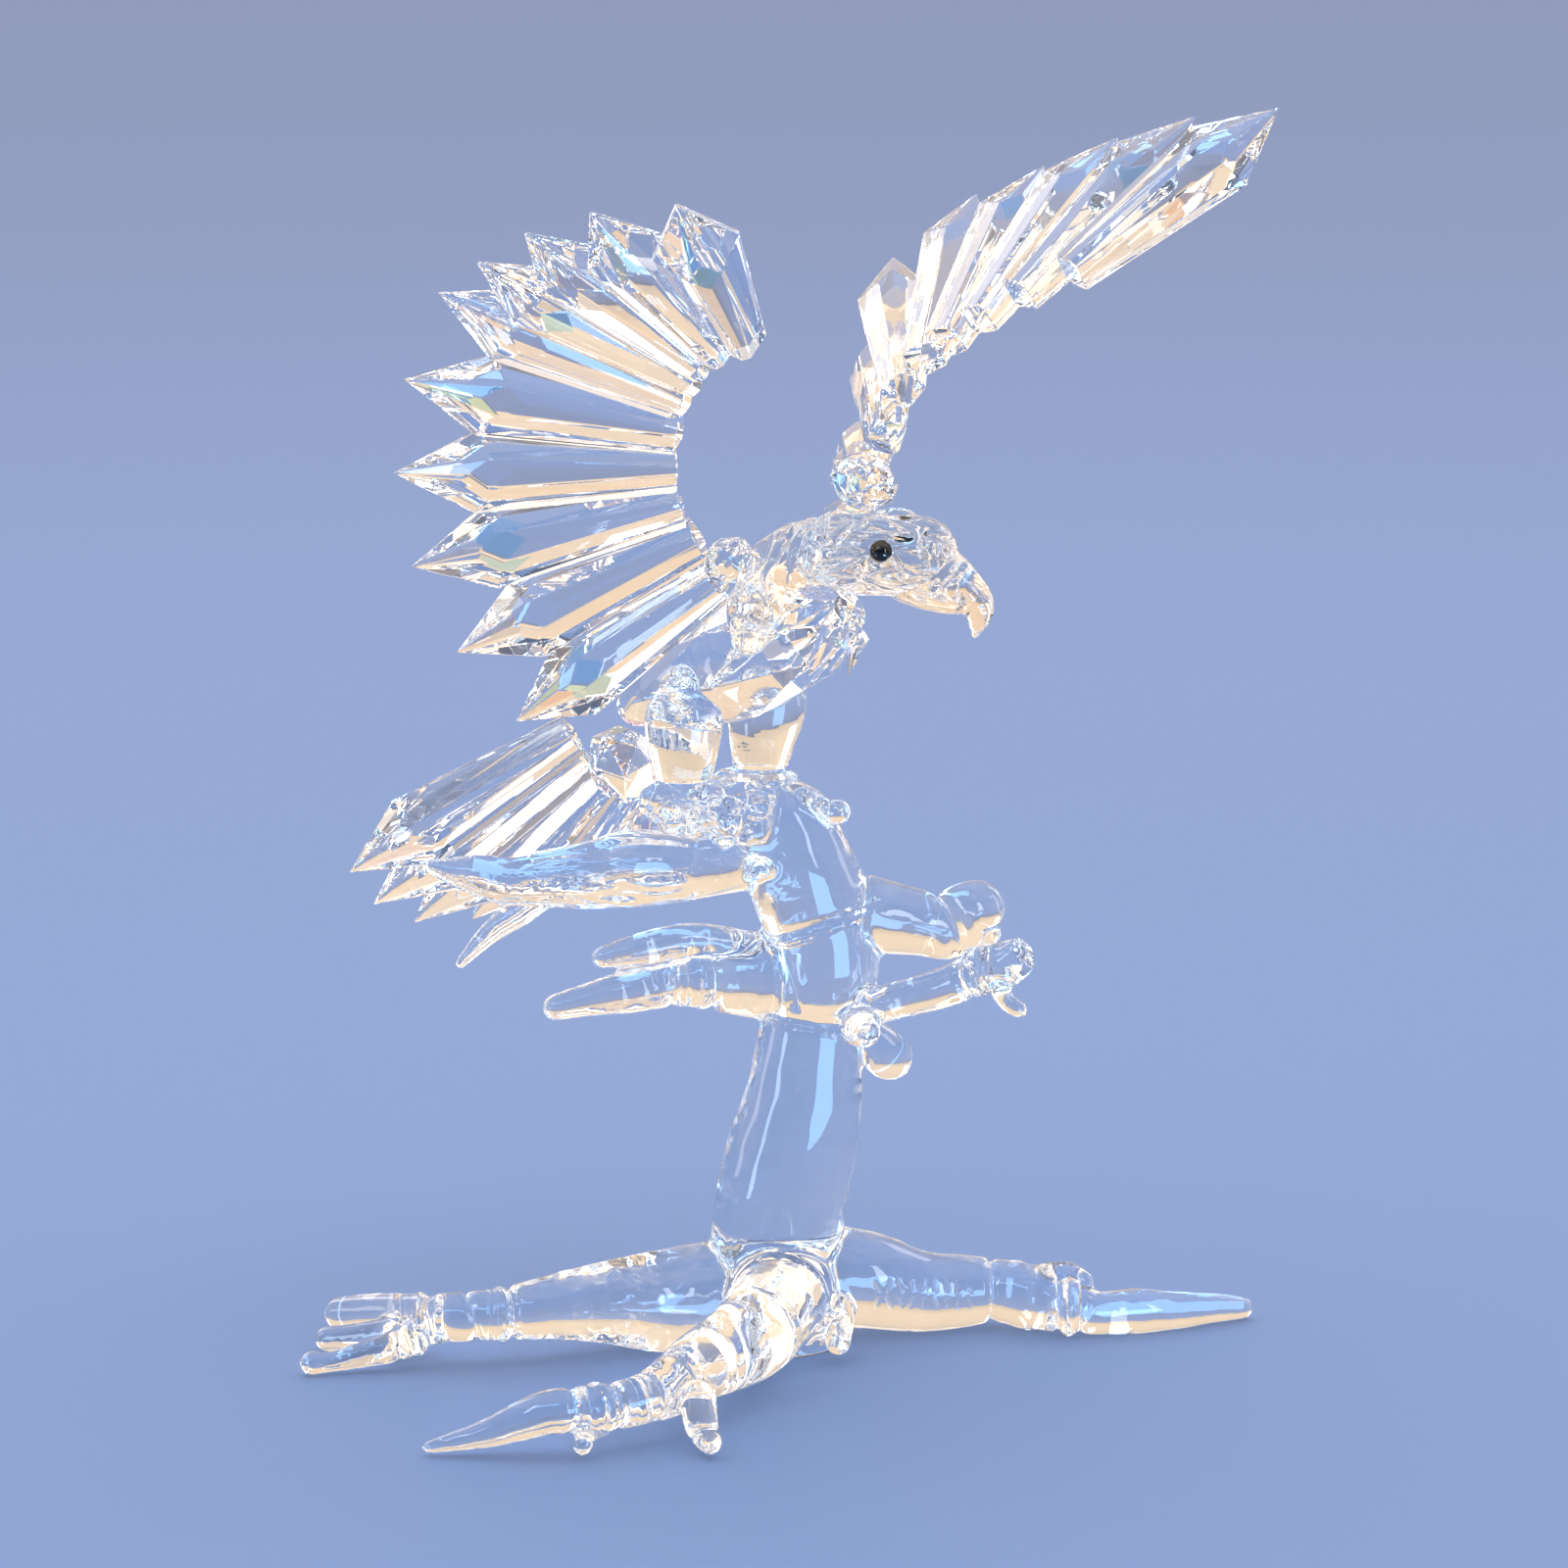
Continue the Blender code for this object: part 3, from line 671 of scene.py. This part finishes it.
thigh_glass, _ = lamp_glass(
    "gathered_clear_glass", fineness=420, bump=0.00003,
    clear_colour=(0.98, 0.985, 0.98), streak_colour=(0.93, 0.94, 0.93), smooth=0.0, rough=0.02,
)
for name, rows, node in (
    ("near_thigh_drop", NEAR_THIGH, "near_thigh"), ("far_thigh_drop", FAR_THIGH, "far_thigh")
):
    thigh = fuse(name, [rod(rows, THIGH_SIDES)], THIGH_VOXEL, THIGH_SETTLING)
    points = read_points(thigh.data)
    points[:, 2] = np.clip(points[:, 2], ANKLE + GLUE_GAP / 2, None)
    keep_off(points, "body", GLUE_GAP)
    write_points(thigh.data, points)
    shade_smooth(thigh.data)
    finish_piece(thigh, thigh_glass, "lampworked_glass", node)


# Cut crystal
# The body, the stones at the joints and the long spear prisms of the wings and tail are clear
# lead crystal, cut and polished flat by flat. Narrow ground edges run between the flats. The
# crystals are glued edge to edge with clear glue.

EDGE_WIDTH = 0.00013
BODY_CORNER = 0.0007
FLAT_ANGLE = math.radians(0.6)
# Flats larger than this area keep to the quiet painted tints of warm and cool light at the lower
# end of the scale, with no painted flashes
LONG_FLAT = 0.000016
QUIET_SHARE = 0.72
FLAT_SEED = 11


def painted_crystal_fire():
    """Shared effect: painted light on each flat, a faint painted tint of warm or cool light and
    now and then a painted flash of spectral colour in place of the crystal's fire.
    """
    group = bpy.data.node_groups.new("painted_crystal_fire", "ShaderNodeTree")
    group.interface.new_socket("Flat", in_out="INPUT", socket_type="NodeSocketFloat")
    group.interface.new_socket("Colour", in_out="OUTPUT", socket_type="NodeSocketColor")
    nodes, links = group.nodes, group.links
    inside = nodes.new("NodeGroupInput")
    outside = nodes.new("NodeGroupOutput")
    ramp = nodes.new("ShaderNodeValToRGB")
    ramp.color_ramp.interpolation = "CONSTANT"
    # Painted light: plain near-white for the ground edges at 0, quiet warm and cool painted tints
    # below 0.86, painted spectral flashes from 0.86 up
    stops = (
        (0.00, (0.985, 0.985, 0.985)), (0.30, (1.0, 0.955, 0.895)), (0.48, (0.955, 0.965, 0.99)),
        (0.62, (1.0, 0.925, 0.86)), (0.72, (0.93, 0.98, 0.955)), (0.79, (0.94, 0.90, 0.985)),
        (0.86, (0.40, 0.80, 0.98)), (0.90, (0.50, 0.95, 0.80)), (0.93, (1.0, 0.92, 0.50)),
        (0.95, (1.0, 0.62, 0.45)), (0.97, (0.96, 0.60, 0.84)),
    )
    elements = ramp.color_ramp.elements
    while len(elements) < len(stops):
        elements.new(1.0)
    for element, (place, colour) in zip(elements, stops):
        element.position = place
        element.color = (*colour, 1)
    links.new(inside.outputs["Flat"], ramp.inputs["Fac"])
    links.new(ramp.outputs["Color"], outside.inputs["Colour"])
    return group


PAINTED_CRYSTAL_FIRE = painted_crystal_fire()


def cut_crystal(name):
    """Clear polished lead crystal that reads each flat's number for its painted tint or painted
    flash of light.
    """
    material = bpy.data.materials.new(name)
    material.use_nodes = True
    nodes, links = material.node_tree.nodes, material.node_tree.links
    shader = nodes["Principled BSDF"]
    shader.inputs["Metallic"].default_value = 0.0
    shader.inputs["Transmission Weight"].default_value = 1.0
    shader.inputs["IOR"].default_value = 1.58
    shader.inputs["Roughness"].default_value = 0.0
    flat = nodes.new("ShaderNodeAttribute")
    flat.attribute_name = "flat"
    # The flat's number picks its painted light: a painted tint of warm or cool light, or a painted
    # spectral flash
    fire = nodes.new("ShaderNodeGroup")
    fire.node_tree = PAINTED_CRYSTAL_FIRE
    links.new(flat.outputs["Fac"], fire.inputs["Flat"])
    links.new(fire.outputs["Colour"], shader.inputs["Base Color"])
    return material


flat_dice = np.random.default_rng(FLAT_SEED)
crystal = cut_crystal("polished_lead_crystal")


def cut_piece(name, node, edge_width=EDGE_WIDTH, corner=0.0):
    """The node's flats with ground edges between them, and a painted light number on each flat: a
    painted tint or a painted flash.
    """
    bm = bmesh.new()
    bm.from_mesh(frame["nodes"][node].data)
    bmesh.ops.remove_doubles(bm, verts=bm.verts, dist=SAME_PLACE)
    bmesh.ops.dissolve_limit(bm, angle_limit=FLAT_ANGLE, verts=bm.verts[:], edges=bm.edges[:])
    if corner:
        bmesh.ops.bevel(
            bm, geom=bm.verts[:], offset=corner, segments=1, affect="VERTICES",
            clamp_overlap=True,
        )
    cut = bmesh.ops.bevel(
        bm, geom=bm.edges[:], offset=edge_width, segments=1, affect="EDGES", clamp_overlap=True
    )
    edges = set(cut["faces"])
    # Ground edges get 0, plain near-white; each flat gets a random painted light number, and large
    # flats only quiet painted tints
    painted_tints = []
    for face in bm.faces:
        share = QUIET_SHARE if face.calc_area() > LONG_FLAT else 1.0
        painted_tints.append(0.0 if face in edges else share * float(flat_dice.random()))
    mesh = bpy.data.meshes.new(name)
    bm.to_mesh(mesh)
    bm.free()
    layer = mesh.attributes.new("flat", "FLOAT", "FACE")
    layer.data.foreach_set("value", painted_tints)
    piece = add_object(name, mesh)
    finish_piece(piece, crystal, "cut_crystal", node)
    return piece


# Two pointed petals cut on the chest below the throat: base, widest place, tip and outward side
PETALS = (
    ((38, -88, 618), (41, -94, 594), (23, -81, 565), (0.35, -0.93, -0.1)),
    ((54, -84, 617), (62, -80, 592), (54, -70, 562), (0.75, -0.65, -0.1)),
)
PETAL_HALF_WIDTH = 9.5
PETAL_BASE_HALF = 4.5
PETAL_RIDGE = 7.5
PETAL_SHOULDER = 2.5


def cut_petal(base, widest, tip, outward):
    """A small spear with a ridge down its middle, let into the chest."""
    base, widest, tip = (np.array(place, float) for place in (base, widest, tip))
    outward = unit(np.array(outward))
    across = unit(np.cross(outward, tip - base))
    places = [tip, base + PETAL_SHOULDER * outward, widest + PETAL_RIDGE * outward]
    for side in (-1, 1):
        places.append(base + side * PETAL_BASE_HALF * across)
        places.append(widest + side * PETAL_HALF_WIDTH * across + PETAL_SHOULDER * outward)
        places.append(widest + side * PETAL_BASE_HALF * across - PETAL_RIDGE * outward)
    bm = bmesh.new()
    corners = [bm.verts.new(place * UNIT) for place in places]
    bmesh.ops.convex_hull(bm, input=corners)
    mesh = bpy.data.meshes.new("chest_petal")
    bm.to_mesh(mesh)
    bm.free()
    # Each flat of the petal gets a random painted light number: a painted tint or a painted
    # spectral flash
    layer = mesh.attributes.new("flat", "FLOAT", "FACE")
    layer.data.foreach_set("value", [float(flat_dice.random()) for _ in mesh.polygons])
    mesh.materials.append(crystal)
    return add_object("chest_petal", mesh)


body = cut_piece("body_crystal", "body", corner=BODY_CORNER)
petals = [cut_petal(*rows) for rows in PETALS]
for petal in petals:
    joining = body.modifiers.new("joining", "BOOLEAN")
    joining.operation = "UNION"
    joining.solver = "EXACT"
    joining.object = petal
joined = bpy.data.meshes.new_from_object(body.evaluated_get(bpy.context.evaluated_depsgraph_get()))
body.modifiers.clear()
body.data = joined
for petal in petals:
    bpy.data.objects.remove(petal)
tail_stone = cut_piece("tail_stone_crystal", "tail_stone")
for stone in ("near_shoulder_stone", "far_shoulder_stone"):
    cut_piece(stone + "_crystal", stone)

# Two upper flats of the tail stone get a painted warm flash, yellow and orange: direction and
# painted light number
PAINTED_FLASH_FLATS = (((0.07, -0.86, 0.51), 0.96), ((-0.03, -0.04, 1.0), 0.94))
for direction, tint in PAINTED_FLASH_FLATS:
    aim = Vector(direction)
    painted_flash_flat = max(tail_stone.data.polygons, key=lambda face: face.normal.dot(aim) * face.area)
    tail_stone.data.attributes["flat"].data[painted_flash_flat.index].value = tint

FANS = (("near_wing", 10), ("far_wing", 10), ("tail", 6))
for place, count in FANS:
    for number in range(1, count + 1):
        cut_piece(f"{place}_crystal_{number:02d}", f"{place}_prism_{number:02d}")


# Head
# One piece of lampworked glass: neck, skull, brows, hooked beak and the smooth lobe of the neck.
# Feather strokes were combed into it while it was hot, so they run soft along the head and
# round the neck. It is seated on the body stone.

HEAD_VOXEL = 0.00020
HEAD_SETTLING = 6
HEAD_SIDES = 64
HEAD_CORE = (
    (-23, -102, 600, 15), (-20, -93, 614, 22), (-10, -70, 629, 27), (1, -44, 641, 32),
    (19, -36, 650, 34), (42, -41, 654, 36), (64, -48, 656, 36), (81, -54, 656, 35),
    (96, -57, 656, 35), (107, -60, 657, 34),
)
BEAK = (
    (100, -58, 647, 28), (123, -66, 640, 27), (138, -70, 633, 23), (148, -73, 627, 18),
    (155, -75, 619, 14), (156, -75, 610, 10), (154, -75, 601, 6), (153, -75, 597, 3),
)
HEAD_FLATNESS = 0.88
HEAD_SIDEWAYS = unit(np.array((0.33, 0.944, 0.0)))
HEAD_FORWARD = np.array((0.944, -0.33, 0.0))
NEAR_BROW = ((46, -64, 671, 7), (64, -70, 680, 8), (84, -76, 681, 8), (102, -80, 673, 6))
EYE_MIDDLE = np.array((90, -52, 664)) * UNIT
EYE_REACH = 32 * UNIT
EYE_RADIUS = 0.00135
SOCKET_GAP = 0.00033


def other_side(rows):
    """The same rows on the far side of the head."""
    mirrored = []
    for x, y, z, radius in rows:
        offset = np.array((x, y, z)) * UNIT - EYE_MIDDLE
        offset -= 2 * offset.dot(HEAD_SIDEWAYS) * HEAD_SIDEWAYS
        mirrored.append((*((EYE_MIDDLE + offset) / UNIT), radius))
    return tuple(mirrored)


head_shells = [rod(rows, HEAD_SIDES, HEAD_SIDEWAYS, HEAD_FLATNESS) for rows in (HEAD_CORE, BEAK)]
head_shells += [rod(rows) for rows in (NEAR_BROW, other_side(NEAR_BROW))]
head = fuse("glass_head", head_shells, HEAD_VOXEL, HEAD_SETTLING)

# Combed lines: streaks run forward along the head, folds run round the neck
STREAK_DEPTH = 0.00030
STREAK_LENGTH = 62
STREAK_PITCH = 15
STREAK_SEED = 5.0
FOLD_DEPTH = 0.00042
FOLD_LENGTH = 42
FOLD_PITCH = 13
FOLD_SEED = 8.0
LINE_SHARPNESS = 0.10
SWELL_DEPTH = 0.00030
SWELL_REST = 0.4
BEND_REACH = 4
BEND_SIZE = 0.009
BEND_SEED = 2.2
NECK_END, NECK_FADE = 34, 4
BEAK_START, BEAK_FADE = 122, 3
LOBE_TOP, LOBE_FADE = 636, 3
BEAK_SWELL_LOSS = 0.8
BEAK_STREAK_LOSS = 0.85
TOOL_FORCE = 1.25
# Single strokes of the tool on both sides: forward and up, with width and depth
TOOL_STROKES = (
    (((87, 684), (81, 680), (74, 675), (67, 666)), 0.00048, 0.00065),
    (((40, 685), (34, 673), (34, 657), (38, 638), (47, 627)), 0.00040, 0.00075),
    (((46, 684), (40, 672), (40, 657), (44, 640)), 0.00045, -0.00040),
    (((26, 678), (20, 666), (19, 648), (25, 635)), 0.00045, 0.00060),
    (((86, 635), (73, 629), (60, 628)), 0.00035, 0.00050),
    (((89, 644), (102, 636), (120, 631), (138, 624), (157, 621)), 0.00032, 0.00055),
    (((105, 668), (112, 662), (117, 655), (119, 648)), 0.00038, 0.00034),
    (((135, 677), (149, 672), (160, 670)), 0.00030, 0.00035),
    (((122, 652), (129, 648), (142, 647)), 0.00032, 0.00045),
    (((156, 643), (150, 637), (149, 630), (154, 623)), 0.00040, 0.00055),
    (((48, 666), (62, 669)), 0.00030, 0.00045),
    (((48, 646), (62, 648), (76, 655)), 0.00030, 0.00045),
    (((55, 654), (67, 656), (79, 657)), 0.00030, 0.00040),
    (((47, 676), (65, 678)), 0.00030, 0.00040),
    (((50, 634), (64, 638), (82, 641)), 0.00030, 0.00040),
    (((146, 640), (143, 637)), 0.00045, 0.00060),
)

points = read_points(head.data)
normals = read_normals(head.data)
forward = points @ HEAD_FORWARD / UNIT
sideways = points @ HEAD_SIDEWAYS / UNIT
upward = points[:, 2] / UNIT
bend = BEND_REACH * waviness(points, BEND_SIZE, BEND_SEED)
combed = np.stack([
    forward / STREAK_LENGTH, (upward + bend) / STREAK_PITCH, (sideways + bend) / STREAK_PITCH
], axis=1)
streaks = waviness(combed, 1.0, STREAK_SEED)
folded = np.stack([
    (forward + 0.5 * bend) / FOLD_PITCH, upward / FOLD_LENGTH, sideways / FOLD_LENGTH
], axis=1)
folds = waviness(folded, 1.0, FOLD_SEED)
neck = 1 / (1 + np.exp((forward - NECK_END) / NECK_FADE))
beak = 1 / (1 + np.exp(-(forward - BEAK_START) / BEAK_FADE))
lobe = 1 / (1 + np.exp((upward - LOBE_TOP) / LOBE_FADE)) * neck
streak_lines = np.exp(-((streaks / LINE_SHARPNESS) ** 2))
fold_lines = np.exp(-((folds / LINE_SHARPNESS) ** 2))
lift = SWELL_DEPTH * (streaks - SWELL_REST) * (1 - BEAK_SWELL_LOSS * beak) * (1 - lobe)
lift -= STREAK_DEPTH * streak_lines * (1 - neck) * (1 - BEAK_STREAK_LOSS * beak)
lift -= FOLD_DEPTH * fold_lines * neck * (1 - lobe)
side_view = np.stack([forward, upward, np.zeros(len(points))], axis=1) * UNIT
for places, width, depth in TOOL_STROKES:
    lift -= TOOL_FORCE * depth * line_share(side_view, [(*place, 0) for place in places], width)
points += normals * lift[:, None]
for side in (-1, 1):
    eye = EYE_MIDDLE + side * EYE_REACH * HEAD_SIDEWAYS
    offset = points - eye
    gap = np.linalg.norm(offset, axis=1)
    socket = EYE_RADIUS + SOCKET_GAP
    inside = gap < socket
    points[inside] = eye + offset[inside] / gap[inside][:, None] * socket
keep_off(points, "body", GLUE_GAP)
write_points(head.data, points)
shade_smooth(head.data)
head_glass, _ = lamp_glass(
    "combed_clear_glass", fineness=420, bump=0.00001,
    clear_colour=(0.95, 0.90, 0.84), streak_colour=(0.86, 0.80, 0.73), smooth=0.0, rough=0.004,
)
finish_piece(head, head_glass, "lampworked_glass", "head")


# Eyes
# Two small beads of opaque black glass, pressed into the hot head. They are round and glossy.

EYE_SIDES = 48
bead_glass = bpy.data.materials.new("black_bead_glass")
bead_glass.use_nodes = True
bead_nodes, bead_links = bead_glass.node_tree.nodes, bead_glass.node_tree.links
bead_shader = bead_nodes["Principled BSDF"]
bead_shader.inputs["IOR"].default_value = 1.52
bead_shader.inputs["Metallic"].default_value = 0.0
bead_shader.inputs["Specular IOR Level"].default_value = 0.22
bead_noise = bead_nodes.new("ShaderNodeTexNoise")
bead_noise.inputs["Scale"].default_value = 1800
bead_place = bead_nodes.new("ShaderNodeTexCoord")
bead_links.new(bead_place.outputs["Object"], bead_noise.inputs["Vector"])
bead_gloss = bead_nodes.new("ShaderNodeMapRange")
bead_gloss.inputs["To Min"].default_value = 0.03
bead_gloss.inputs["To Max"].default_value = 0.12
bead_links.new(bead_noise.outputs["Fac"], bead_gloss.inputs["Value"])
bead_links.new(bead_gloss.outputs["Result"], bead_shader.inputs["Roughness"])
bead_colour = bead_nodes.new("ShaderNodeMix")
bead_colour.data_type = "RGBA"
bead_colour.inputs["A"].default_value = (0.001, 0.001, 0.001, 1)
bead_colour.inputs["B"].default_value = (0.005, 0.004, 0.004, 1)
bead_links.new(bead_noise.outputs["Fac"], bead_colour.inputs["Factor"])
bead_links.new(bead_colour.outputs["Result"], bead_shader.inputs["Base Color"])

for name, side in (("near_eye", -1), ("far_eye", 1)):
    bm = bmesh.new()
    eye = EYE_MIDDLE + side * EYE_REACH * HEAD_SIDEWAYS
    bmesh.ops.create_uvsphere(
        bm, u_segments=EYE_SIDES, v_segments=EYE_SIDES // 2, radius=EYE_RADIUS,
        matrix=Matrix.Translation(eye),
    )
    mesh = bpy.data.meshes.new(name + "_bead")
    bm.to_mesh(mesh)
    bm.free()
    shade_smooth(mesh)
    finish_piece(add_object(name + "_bead", mesh), bead_glass, "black_glass", name)


# Studio
# A wide pale floor, a soft warm glow from behind, a panel overhead, cool windows that put long
# highlights on the glass, and the camera at the height that the figurine is shown from.

FLOOR_SIZE = 44.0
FLOOR_DROP = 0.00005
floor_mesh = bpy.data.meshes.new("studio_floor")
half = FLOOR_SIZE / 2
floor_mesh.from_pydata(
    [(-half, -half, 0), (half, -half, 0), (half, half, 0), (-half, half, 0)], [], [(0, 1, 2, 3)]
)
floor = add_object("studio_floor", floor_mesh)
floor.location.z = -FLOOR_DROP
floor_paint = bpy.data.materials.new("pale_floor")
floor_paint.use_nodes = True
floor_shader = floor_paint.node_tree.nodes["Principled BSDF"]
floor_shader.inputs["Base Color"].default_value = (0.20, 0.325, 0.66, 1)
floor_shader.inputs["Specular IOR Level"].default_value = 0.12
floor_shader.inputs["Roughness"].default_value = 0.5
floor_mesh.materials.append(floor_paint)

FIGURE_MIDDLE = Vector((0, 0, 0.09))


def softbox(name, place, width, height, colour, radiance):
    """A flat panel of light that faces the figurine, with the brightness it is seen at."""
    data = bpy.data.lights.new(name, "AREA")
    data.shape = "RECTANGLE"
    data.size, data.size_y = width, height
    data.color = colour
    data.energy = radiance * math.pi * width * height
    lamp = add_object(name, data)
    lamp.location = place
    lamp.rotation_euler = (FIGURE_MIDDLE - Vector(place)).to_track_quat("-Z", "Y").to_euler()
    lamp.visible_camera = False
    return lamp


softbox("overhead_panel", (0.0, 0.1, 1.0), 1.9, 1.7, (1.0, 0.92, 0.82), 0.62)

# Strips and windows that light the glass and leave the floor plain: place, width, height,
# colour and brightness
WINDOWS = (
    ("left_low_strip", (-0.42, 0.05, 0.16), 0.08, 0.34, (1.0, 0.95, 0.88), 3.0),
    ("right_low_strip", (0.42, 0.10, 0.16), 0.08, 0.34, (1.0, 0.97, 0.92), 3.0),
    ("back_left_strip", (-0.55, 0.75, 0.45), 0.25, 0.6, (1.0, 0.88, 0.74), 3.0),
    ("back_right_strip", (0.60, 0.70, 0.45), 0.25, 0.6, (1.0, 0.90, 0.78), 3.0),
    ("left_window", (-0.55, -0.55, 0.75), 0.16, 0.42, (0.86, 0.94, 1.0), 9.0),
    ("right_window", (0.60, -0.65, 0.42), 0.12, 0.55, (0.86, 0.94, 1.0), 9.0),
    ("front_window", (-0.15, -0.52, 0.62), 0.50, 0.09, (0.38, 0.68, 1.0), 8.0),
    ("right_low_window", (0.10, -0.14, 0.034), 0.105, 0.064, (0.30, 0.62, 1.0), 12.0),
    ("left_low_window", (-0.17, -0.10, 0.040), 0.030, 0.08, (0.60, 0.80, 1.0), 10.0),
)
figurine = bpy.data.collections.new("figurine")
for piece in bpy.context.scene.objects:
    if piece.type == "MESH" and piece is not floor:
        figurine.objects.link(piece)
for window in WINDOWS:
    softbox(*window).light_linking.receiver_collection = figurine

# A wide cool sheet of light above, for the floor alone
floor_only = bpy.data.collections.new("floor_only")
floor_only.objects.link(floor)
floor_wash = softbox("floor_wash", (0.0, 0.0, 3.6), 11.0, 11.0, (0.70, 0.84, 1.0), 0.46)
floor_wash.light_linking.receiver_collection = floor_only

# The air glows warm from behind and above, is dark behind the camera and dim at the horizon
GLOW_COLOUR = (1.00, 0.78, 0.56, 1)
SHADE_COLOUR = (0.10, 0.13, 0.20, 1)
GLOW_REACH = (-0.75, 0.15)
HORIZON_REACH = (-0.02, 0.12)
HORIZON_SHARE = 0.75
LIGHT_BOUNCES = 24
world = bpy.data.worlds.new("studio_air")
bpy.context.scene.world = world
world.use_nodes = True
air_nodes, air_links = world.node_tree.nodes, world.node_tree.links
heading = air_nodes.new("ShaderNodeTexCoord")
parts = air_nodes.new("ShaderNodeSeparateXYZ")
air_links.new(heading.outputs["Generated"], parts.inputs["Vector"])
behind = air_nodes.new("ShaderNodeMapRange")
behind.interpolation_type = "SMOOTHSTEP"
behind.inputs["From Min"].default_value, behind.inputs["From Max"].default_value = GLOW_REACH
air_links.new(parts.outputs["Y"], behind.inputs["Value"])
raised = air_nodes.new("ShaderNodeMapRange")
raised.interpolation_type = "SMOOTHSTEP"
raised.inputs["From Min"].default_value, raised.inputs["From Max"].default_value = HORIZON_REACH
raised.inputs["To Min"].default_value = HORIZON_SHARE
air_links.new(parts.outputs["Z"], raised.inputs["Value"])
warmth = air_nodes.new("ShaderNodeMath")
warmth.operation = "MULTIPLY"
air_links.new(behind.outputs["Result"], warmth.inputs[0])
air_links.new(raised.outputs["Result"], warmth.inputs[1])
glow = air_nodes.new("ShaderNodeMix")
glow.data_type = "RGBA"
glow.inputs["A"].default_value = SHADE_COLOUR
glow.inputs["B"].default_value = GLOW_COLOUR
air_links.new(warmth.outputs["Value"], glow.inputs["Factor"])
air_links.new(glow.outputs["Result"], air_nodes["Background"].inputs["Color"])
bpy.context.scene.view_settings.view_transform = "Standard"
bpy.context.scene.cycles.max_bounces = LIGHT_BOUNCES
bpy.context.scene.cycles.transmission_bounces = LIGHT_BOUNCES
bpy.context.scene.cycles.glossy_bounces = LIGHT_BOUNCES

CAMERA_DISTANCE = 0.750
CAMERA_TILT = math.radians(12)
CAMERA_TARGET = Vector((0.0007, 0, 0.0845))
METRES_PER_PIXEL = 0.0001437
PICTURE_PIXELS = 1600
SENSOR = 36
camera_data = bpy.data.cameras.new("camera")
camera_data.sensor_width = SENSOR
camera_data.lens = SENSOR * CAMERA_DISTANCE / (METRES_PER_PIXEL * PICTURE_PIXELS)
camera_data.clip_start = 0.01
camera = add_object("camera", camera_data)
looking = Vector((0, math.cos(CAMERA_TILT), -math.sin(CAMERA_TILT)))
camera.location = CAMERA_TARGET - CAMERA_DISTANCE * looking
camera.rotation_euler = (math.pi / 2 - CAMERA_TILT, 0, 0)
bpy.context.scene.camera = camera
